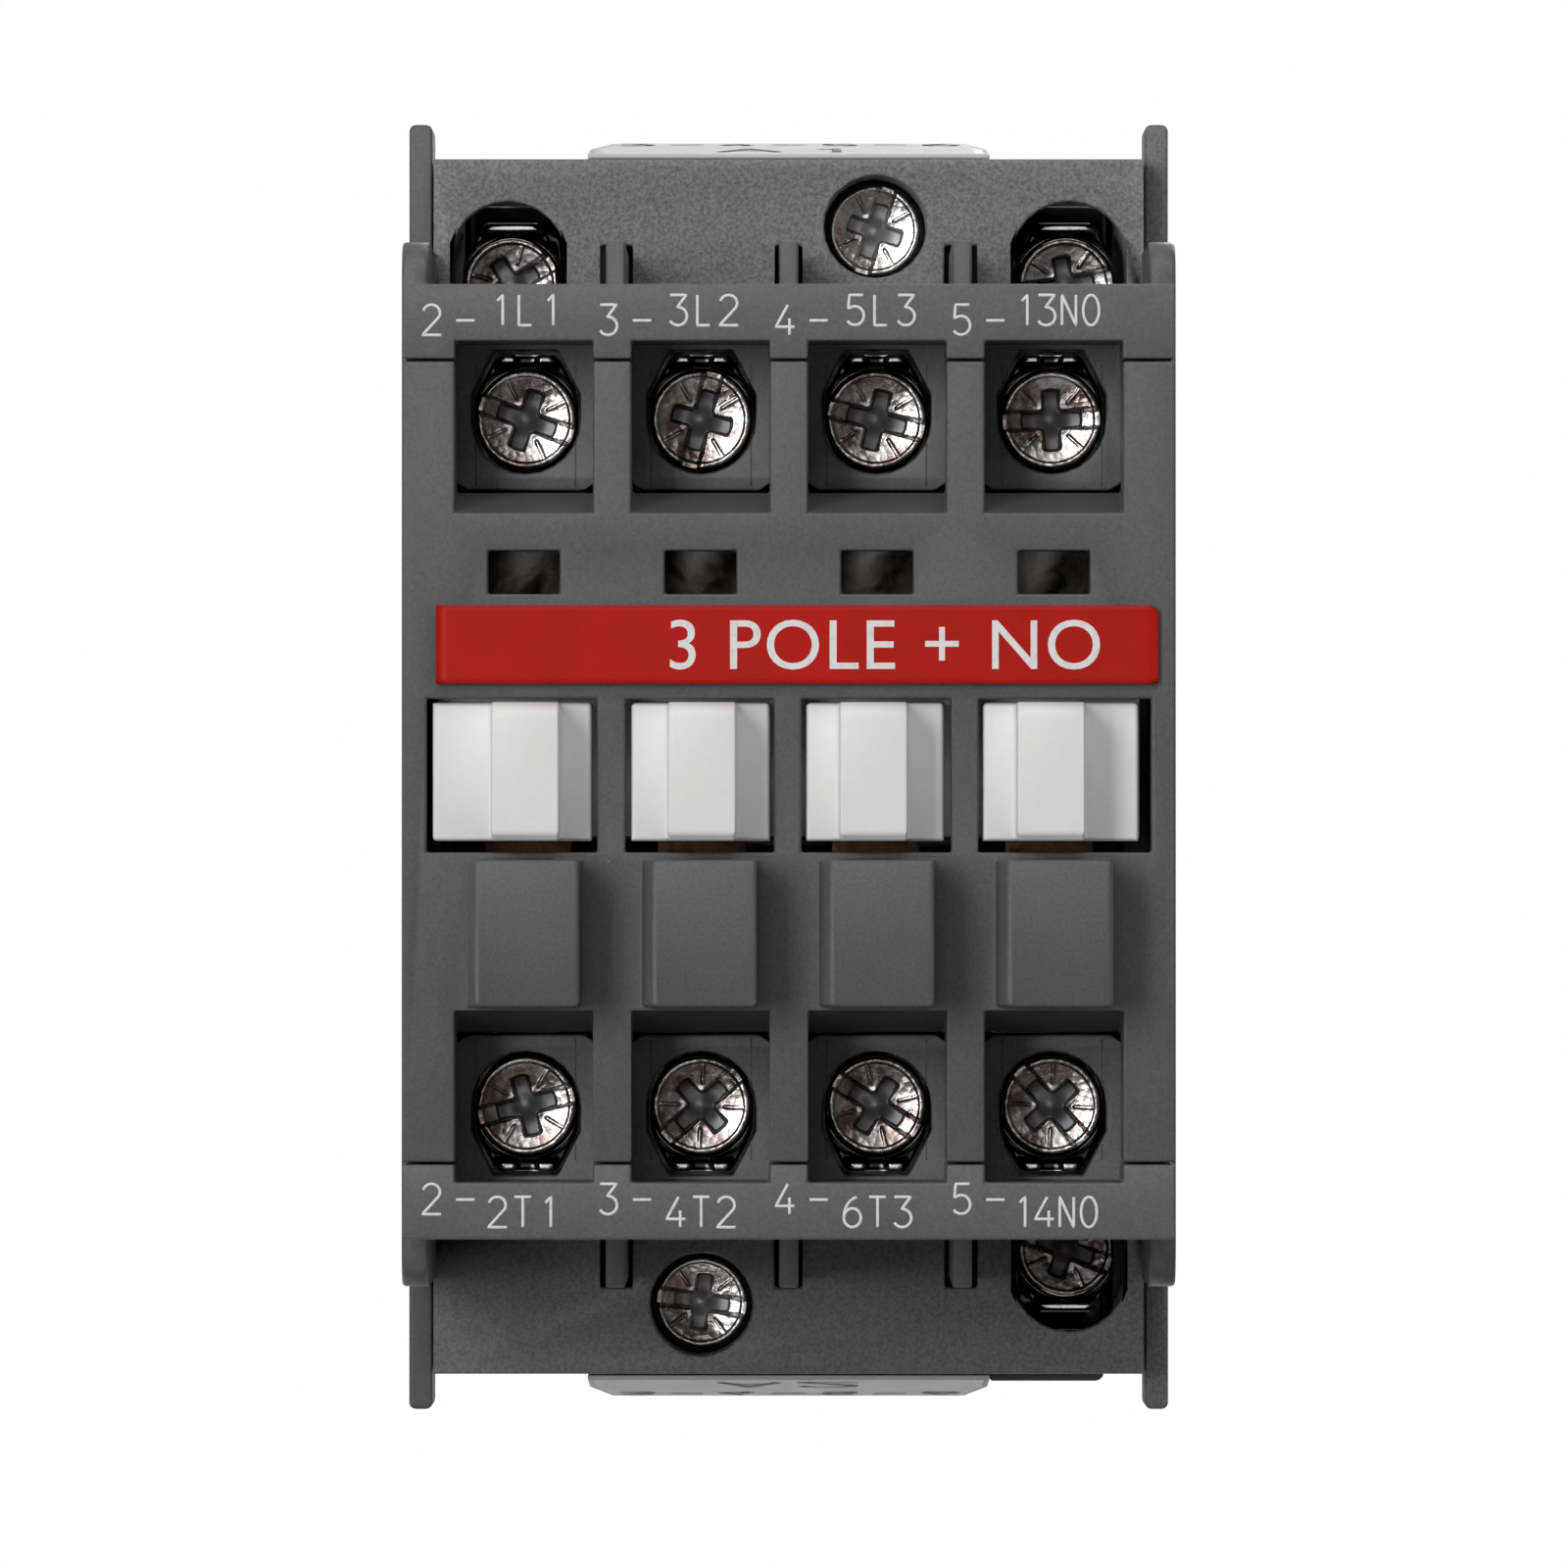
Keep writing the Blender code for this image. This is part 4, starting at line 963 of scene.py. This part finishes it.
def winding_grid(low, high, wire):
    """The wound coil: a rounded rectangle round X and Z for each row along Y, one row of wires thick.

    The outline is a superellipse, |x/a|^p + |z/b|^p = 1 with p = 10, and it stands out and in by a
    third of the wire as |sin| of the distance along Y in wire widths.
    """
    rows = int((high.y - low.y) / wire) * 6
    along = np.linspace(low.y, high.y, rows)
    turn = np.linspace(0, 2 * np.pi, 160, endpoint=False)
    power = 2.0 / 10.0
    bulge = wire / 3 * (np.abs(np.sin(np.pi * (along - low.y) / wire)) - 1.0)
    half = ((high.x - low.x) / 2 + bulge, (high.z - low.z) / 2 + bulge)
    middle = (low + high) / 2
    cos, sin = np.cos(turn), np.sin(turn)
    grid = np.zeros((rows, len(turn), 3))
    grid[..., 0] = middle.x + half[0][:, None] * np.sign(cos) * np.abs(cos) ** power
    grid[..., 1] = along[:, None]
    grid[..., 2] = middle.z + half[1][:, None] * np.sign(sin) * np.abs(sin) ** power
    return grid


def make_winding():
    """The winding's outer wires, closed at both ends round the bobbin's tube."""
    low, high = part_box("coil_winding")
    outside = winding_grid(low, high, 0.31 * MM)
    middle = np.array((low + high) / 2)
    inside = outside[::-1].copy()
    hole = np.array([6.5 * MM / ((high.x - low.x) / 2), 1.0, 8.5 * MM / ((high.z - low.z) / 2)])
    inside = middle + (inside - middle) * hole
    inside = inside[[0, -1]]
    rings = np.concatenate([outside, inside, outside[:1]])
    faces = grid_faces(*rings.shape[:2], around=True)
    new_piece("coil_turns", rings, faces, "coil_winding", "enamelled_wire")


LABEL_FRONT = -29.5 * MM
LABEL_REAR = -8.0 * MM
LABEL_DROP = 1.70 * MM


def label_level(back, end):
    """How far out a bobbin's sloping end lies, at places along Y: it drops towards the front."""
    low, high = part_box("coil_bobbin")
    reach = high.z if end > 0 else -low.z
    return reach - LABEL_DROP * (back - LABEL_REAR) / (LABEL_FRONT - LABEL_REAR)


def end_label(name, end):
    """A film on a bobbin's sloping end face: straight in front, and narrowing behind."""
    back = np.linspace(LABEL_FRONT + 0.25 * MM, LABEL_REAR - 0.2 * MM, 40)
    half = (11.3 - 1.1 * np.clip((20.0 - np.abs(back) / MM) / 12.0, 0.0, 1.0)) * MM
    across = np.linspace(-1.0, 1.0, 40)
    grid = np.zeros((len(back), len(across), 3))
    grid[..., 0] = half[:, None] * across
    grid[..., 1] = back[:, None]
    grid[..., 2] = end * (label_level(back, end)[:, None] + 0.02 * MM)
    film = slab(grid, np.array([0.0, 0.0, -end * 0.05 * MM]))
    new_piece(name, *film, "coil_bobbin", "label_film", replaced=False)


LABEL_ROWS = ((0, 5.58 * MM, 4.6 * MM, 2.0 * MM), (1, 3.1 * MM, 1.5 * MM, 13.5 * MM))
SECOND_ROW = "3 - 4 - 5 - 6"


def label_print(name, words, end):
    """Two rows of single-stroke words on an end label; a letter's height runs back along the slope."""
    paths = []
    for number, height, pitch, bottom in LABEL_ROWS:
        text = (words, SECOND_ROW)[number]
        paths += lettering(text, -pitch * (len(text) - 1) / 2, bottom, height, pitch, 0.0)
    vertices, faces = sweep(paths, 0.55 * MM, 0.05 * MM)
    back = LABEL_FRONT + 1.2 * MM + vertices[:, 2] * 1.1
    level = label_level(back, end) + 0.06 * MM - vertices[:, 1] * 0.2
    placed = np.stack([vertices[:, 0], back, end * level], axis=-1)
    new_piece(name, placed, faces, "coil_bobbin", "grey_ink", replaced=False)


class CONTACTOR_OT_coil(bpy.types.Operator):
    """Bobbin with its end labels, and the winding"""

    bl_idname = "contactor.coil"
    bl_label = "Coil"

    def execute(self, context):
        edge = context.scene.contactor_sizes.shell_edge * 0.6
        shell_of("coil_bobbin", "bobbin_moulding", edge, "bobbin_plastic")
        make_winding()
        for side, words, end in (("upper", "A1", 1), ("lower", "A2", -1)):
            end_label(f"{side}_end_label", end)
            label_print(f"{side}_label_words", words, end)
        return {"FINISHED"}


class CONTACTOR_OT_magnet(bpy.types.Operator):
    """Laminated cores, shading rings, core pin and damping pad"""

    bl_idname = "contactor.magnet"
    bl_label = "Magnet"

    def execute(self, context):
        edge = context.scene.contactor_sizes.metal_edge
        for name in ("fixed_core", "moving_core"):
            shell_of(name, f"{name}_stack", edge, "core_plates")
        for side in ("left", "right"):
            shell_of(f"shading_ring_{side}", f"shading_loop_{side}", edge, "copper_strip")
        shell_of("core_pin", "core_pin_bar", edge, "pin_steel")
        shell_of("damping_pad", "damping_cushion", edge * 2, "pad_rubber")
        return {"FINISHED"}


class CONTACTOR_OT_rail_clip(bpy.types.Operator):
    """Sliding rail clip"""

    bl_idname = "contactor.rail_clip"
    bl_label = "Rail clip"

    def execute(self, context):
        edge = context.scene.contactor_sizes.shell_edge
        shell_of("din_clip", "rail_clip_slider", edge, "carrier_plastic")
        return {"FINISHED"}


# Marking strip and lettering


def strip_grid(low, high):
    """The strip's front: level, but for its right end, which rolls back over a quarter ellipse.

    Its upper and lower edges run level to a corner circle at the right end.
    """
    corner, roll = 0.6 * MM, 0.9 * MM
    bend = high.x - corner
    x = np.concatenate([np.linspace(low.x, bend, 60)[:-1], np.linspace(bend, high.x, 26)])
    beyond = np.clip(x - bend, 0.0, corner * 0.998)
    shrink = corner - np.sqrt(corner ** 2 - beyond ** 2)
    over = np.clip((x - (high.x - roll)) / roll, 0.0, 1.0)
    sink = (high.y - low.y) * 0.55 * (1.0 - np.sqrt(1.0 - over ** 2 * 0.98))
    share = np.linspace(0.0, 1.0, 16)
    bottom = low.z + 0.3 * shrink
    top = high.z - shrink
    grid = np.zeros((len(share), len(x), 3))
    grid[..., 0] = x
    grid[..., 1] = low.y + sink
    grid[..., 2] = bottom + share[:, None] * (top - bottom)
    return grid


def make_strip():
    """The red strip as a thin closed film in place of the plain one."""
    low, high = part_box("label_strip")
    film = slab(strip_grid(low, high), np.array([0.0, (high.y - low.y) * 0.4, 0.0]))
    new_piece("marking_strip", *film, "label_strip", "strip_ink")


RATING_SIZE = 3.95 * MM
RATING_MARGIN = 3.25 * MM
PRINT_HALF = 0.012 * MM


def make_rating(words):
    """Raised white words towards the strip's right end, as a mesh."""
    low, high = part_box("label_strip")
    curve = bpy.data.curves.new("rating_outline", "FONT")
    curve.body = words
    curve.size = RATING_SIZE
    curve.space_character = 1.06
    curve.extrude = PRINT_HALF
    curve.resolution_u = 6
    source = in_scene("rating_outline", curve)
    bpy.context.view_layer.update()
    mesh = bpy.data.meshes.new_from_object(source.evaluated_get(bpy.context.evaluated_depsgraph_get()))
    bpy.data.objects.remove(source)
    flat = points_of(mesh)
    flat[:, :2] -= flat[:, :2].min(axis=0)
    width, tall = flat[:, 0].max(), flat[:, 1].max()
    x = high.x - RATING_MARGIN - width + flat[:, 0]
    z = (low.z + high.z) / 2 - tall / 2 + flat[:, 1]
    mesh.vertices.foreach_set("co", np.stack([x, low.y - PRINT_HALF - flat[:, 2], z], axis=-1).ravel())
    mesh.update()
    item = face_outwards(in_scene("rating_words", mesh))
    item.data.shade_flat()
    register_piece(item, "label_strip", "white_ink", replaced=False)


class CONTACTOR_OT_marking_strip(bpy.types.Operator):
    """Red marking strip with its white words"""

    bl_idname = "contactor.marking_strip"
    bl_label = "Marking strip"

    def execute(self, context):
        make_strip()
        make_rating(context.scene.contactor_colours.rating)
        return {"FINISHED"}


def bow(x, y, across, up, start, stop, steps=14):
    """Points along part of an ellipse, its angles in degrees."""
    angle = np.radians(np.linspace(start, stop, steps))
    return np.stack([x + across * np.cos(angle), y + up * np.sin(angle)], axis=-1).tolist()


GLYPHS = {
    "1": [[(0.12, 0.80), (0.30, 1.0), (0.30, 0.0)]],
    "2": [bow(0.30, 0.73, 0.28, 0.27, 165, -35) + [(0.0, 0.0), (0.62, 0.0)]],
    "3": [[(0.02, 1.0), (0.56, 1.0), (0.26, 0.60)] + bow(0.28, 0.30, 0.30, 0.30, 75, -150)],
    "4": [[(0.62, 0.27), (0.0, 0.27), (0.40, 1.0)], [(0.45, 0.55), (0.45, 0.0)]],
    "5": [[(0.55, 1.0), (0.09, 1.0), (0.05, 0.56)] + bow(0.27, 0.32, 0.30, 0.31, 125, -145)],
    "6": [bow(0.52, 0.32, 0.52, 0.68, 100, 180) + bow(0.28, 0.31, 0.28, 0.31, 180, -180, 24)],
    "L": [[(0.08, 1.0), (0.08, 0.0), (0.50, 0.0)]],
    "T": [[(0.02, 1.0), (0.58, 1.0)], [(0.30, 1.0), (0.30, 0.0)]],
    "N": [[(0.04, 0.0), (0.04, 1.0), (0.50, 0.0), (0.50, 1.0)]],
    "O": [bow(0.28, 0.5, 0.26, 0.5, 90, 450, 28)],
    "A": [[(0.0, 0.0), (0.30, 1.0), (0.60, 0.0)], [(0.12, 0.36), (0.48, 0.36)]],
    "-": [[(0.0, 0.48), (0.62, 0.48)]],
}


def resampled(points, spacing):
    """A polyline's points again at an even spacing, with its corners kept."""
    points = np.array(points, float)
    steps = np.maximum(1, np.ceil(np.linalg.norm(np.diff(points, axis=0), axis=1) / spacing).astype(int))
    runs = [start + (stop - start) * np.linspace(0, 1, n, endpoint=False)[:, None]
            for start, stop, n in zip(points, points[1:], steps)]
    return np.vstack(runs + [points[-1:]])


def lettering(words, first, bottom, height, pitch, depth):
    """Paths of single-stroke letters in the front plane, each centred a pitch from the one before."""
    paths = []
    for number, letter in enumerate(words):
        if letter == " ":
            continue
        strokes = [resampled(stroke, 0.07) for stroke in GLYPHS[letter]]
        middle = np.vstack(strokes)[:, 0]
        middle = (middle.min() + middle.max()) / 2
        for stroke in strokes:
            path = np.zeros((len(stroke), 3))
            path[:, 0] = first + number * pitch + (stroke[:, 0] - middle) * height
            path[:, 1] = depth
            path[:, 2] = bottom + stroke[:, 1] * height
            paths.append(path)
    return paths


MARK_HEIGHT = 1.68 * MM
PREFIX_PLACE = -5.10 * MM
PREFIX_PITCH = 1.86 * MM
MARK_PITCH = {3: 1.40 * MM, 4: 1.23 * MM}
MARKS = {
    "line": (("1L1", "3L2", "5L3", "13NO"), 24.20, 23.66, (-1.32, -1.22, -1.19, -1.62)),
    "load": (("2T1", "4T2", "6T3", "14NO"), -25.82, -25.10, (-1.45, -1.36, -1.38, -1.75)),
}


class CONTACTOR_OT_terminal_numbers(bpy.types.Operator):
    """Single-stroke terminal numbers on the two bands"""

    bl_idname = "contactor.terminal_numbers"
    bl_label = "Terminal numbers"

    def execute(self, context):
        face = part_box("contact_housing")[0].y
        for side, (words, base, prefix_base, firsts) in MARKS.items():
            paths = []
            for pole, word, first in zip(POLES, words, firsts):
                x = centre_of(f"{side}_screw_{pole}")[0]
                start = x + first * MM
                paths += lettering(word, start, base * MM, MARK_HEIGHT, MARK_PITCH[len(word)], face)
                start = x + PREFIX_PLACE
                paths += lettering(f"{pole + 1}-", start, prefix_base * MM, MARK_HEIGHT, PREFIX_PITCH, face)
            strokes = sweep(paths, context.scene.contactor_sizes.stroke, 0.05 * MM)
            new_piece(f"{side}_numbers", *strokes, "contact_housing", "white_ink", replaced=False)
        return {"FINISHED"}


# Studio


LAMP_TARGET = Vector((0.0, -0.035, 0.0))
LAMPS = {
    "key_lamp": ((-0.50, -0.94, 0.22), (0.34, 0.72), 5.85),
    "top_lamp": ((0.12, -0.60, 0.80), (0.5, 0.3), 2.4),
    "back_lamp": ((0.35, 0.85, 0.40), (0.6, 0.6), 4.0),
    "bounce_lamp": ((-0.10, -0.66, -0.74), (0.6, 0.5), 1.7),
    "fill_lamp": ((0.80, -0.60, 0.0), (0.5, 0.5), 1.25),
}


def add_lamp(name, place, size, power):
    """A soft rectangular lamp that faces the contactor."""
    lamp = bpy.data.lights.new(name, "AREA")
    lamp.shape = "RECTANGLE"
    lamp.size, lamp.size_y = size
    lamp.energy = power
    item = in_scene(name, lamp)
    item.location = place
    item.rotation_euler = (LAMP_TARGET - item.location).to_track_quat("-Z", "Y").to_euler()


def make_camera():
    """A long lens straight in front, a little below the middle, tilted up by a fraction of a degree."""
    camera = bpy.data.cameras.new("camera")
    camera.sensor_width = 36.0
    camera.lens = 331.2
    camera.clip_start, camera.clip_end = 0.05, 20.0
    item = in_scene("camera", camera)
    item.location = (-0.27 * MM, -865.5 * MM, -6.55 * MM)
    item.rotation_euler = (math.radians(90.38), 0.0, 0.0)
    bpy.context.scene.camera = item


def make_floor():
    """A pale floor, well below the contactor, which hangs as it would on its rail.

    It glows a little, so that it stays pale away from the lamps, and lights nothing itself.
    """
    span = np.linspace(-1.5, 1.5, 9)
    x, y = np.meshgrid(span, span, indexing="ij")
    points = np.stack([x, y, np.full_like(x, -0.5)], axis=-1)
    item = mesh_object("floor", points, grid_faces(9, 9))
    material, shader, place = start_material("pale_floor")
    tone = blended(noise(place, 3.0, 2.0), (0.86, 0.86, 0.86, 1.0), (0.9, 0.9, 0.9, 1.0))
    shader.id_data.links.new(tone, shader.inputs["Base Color"])
    shader.inputs["Roughness"].default_value = 0.8
    shader.inputs["Emission Color"].default_value = (1.0, 1.0, 1.0, 1.0)
    shader.inputs["Emission Strength"].default_value = 0.5
    item.data.materials.append(material)
    item.visible_diffuse = False
    item.visible_glossy = False


WHITE = (1.0, 1.0, 1.0, 1.0)
SKY_LIGHT = 0.07
WALL_LIGHT = 0.09
PANELS = (
    ((-0.36, -1.0, 0.40), 0.97, 0.90, 2.2),
    ((0.0, -1.0, 0.0), 0.997, 0.988, 0.9),
    ((0.0, -0.35, 1.0), 0.97, 0.90, 1.6),
    ((0.1, -0.5, -1.0), 0.96, 0.92, 0.5),
    ((0.0, 1.0, 0.0), 0.25, 0.0, 0.9),
)


def panel(way, direction, inner, outer, strength):
    """Brightness of a soft round panel in the surroundings, between two cosines from a direction."""
    inputs = {0: way, 1: tuple(Vector(direction).normalized())}
    facing = node(way.id_data, "ShaderNodeVectorMath", inputs, operation="DOT_PRODUCT").outputs["Value"]
    return spread(facing, outer, inner, 0.0, strength)


def make_world():
    """White behind the contactor, an even dim sky for its light, and dark walls with lit panels to mirror."""
    world = bpy.data.worlds.new("studio")
    world.use_nodes = True
    tree = world.node_tree
    tree.nodes.clear()
    way = node(tree, "ShaderNodeTexCoord").outputs["Generated"]
    panels = panel(way, *PANELS[0])
    for values in PANELS[1:]:
        panels = worked("ADD", panels, panel(way, *values))
    walls = worked("ADD", panels, WALL_LIGHT)
    tint = blended(spread(panels, 0.0, 0.4), (1.0, 0.66, 0.56, 1.0), (1.0, 0.98, 0.96, 1.0))
    mirrored, sky, white = (
        node(tree, "ShaderNodeBackground", {"Color": colour, "Strength": strength}).outputs[0]
        for colour, strength in ((tint, walls), (WHITE, SKY_LIGHT), (WHITE, 1.0))
    )
    path = node(tree, "ShaderNodeLightPath")
    inputs = {0: path.outputs["Is Glossy Ray"], 1: sky, 2: mirrored}
    light = node(tree, "ShaderNodeMixShader", inputs).outputs[0]
    inputs = {0: path.outputs["Is Camera Ray"], 1: light, 2: white}
    mixed = node(tree, "ShaderNodeMixShader", inputs).outputs[0]
    node(tree, "ShaderNodeOutputWorld", {"Surface": mixed})
    bpy.context.scene.world = world


class CONTACTOR_OT_studio(bpy.types.Operator):
    """Camera, lamps, floor and background"""

    bl_idname = "contactor.studio"
    bl_label = "Studio"

    def execute(self, context):
        context.scene.view_settings.view_transform = "Standard"
        make_camera()
        make_floor()
        make_world()
        for name, (place, size, power) in LAMPS.items():
            add_lamp(name, place, size, power)
        return {"FINISHED"}


# Panel, registration and the whole build


STEPS = (
    CONTACTOR_OT_studio, CONTACTOR_OT_shells, CONTACTOR_OT_carrier, CONTACTOR_OT_contacts,
    CONTACTOR_OT_screws, CONTACTOR_OT_clamps, CONTACTOR_OT_springs, CONTACTOR_OT_coil,
    CONTACTOR_OT_magnet, CONTACTOR_OT_rail_clip, CONTACTOR_OT_marking_strip,
    CONTACTOR_OT_terminal_numbers,
)


class CONTACTOR_PT_panel(bpy.types.Panel):
    """Sidebar panel with the sizes, the colours and one button for each step"""

    bl_idname = "CONTACTOR_PT_panel"
    bl_label = "Block contactor"
    bl_space_type = "VIEW_3D"
    bl_region_type = "UI"
    bl_category = "Contactor"

    def draw(self, context):
        for group in (context.scene.contactor_sizes, context.scene.contactor_colours):
            for name in group.__annotations__:
                self.layout.prop(group, name)
        for step in STEPS:
            self.layout.operator(step.bl_idname)


CLASSES = (ContactorSizes, ContactorColours, *STEPS, CONTACTOR_PT_panel)


def register():
    """Make the settings, operators and panel known to Blender."""
    for item in CLASSES:
        bpy.utils.register_class(item)
    bpy.types.Scene.contactor_sizes = PointerProperty(type=ContactorSizes)
    bpy.types.Scene.contactor_colours = PointerProperty(type=ContactorColours)


def unregister():
    """Take the settings, operators and panel away again."""
    del bpy.types.Scene.contactor_colours
    del bpy.types.Scene.contactor_sizes
    for item in reversed(CLASSES):
        bpy.utils.unregister_class(item)


def main():
    """Build every piece and the studio."""
    register()
    for step in STEPS:
        group, name = step.bl_idname.split(".")
        getattr(getattr(bpy.ops, group), name)()


if __name__ == "__main__":
    main()
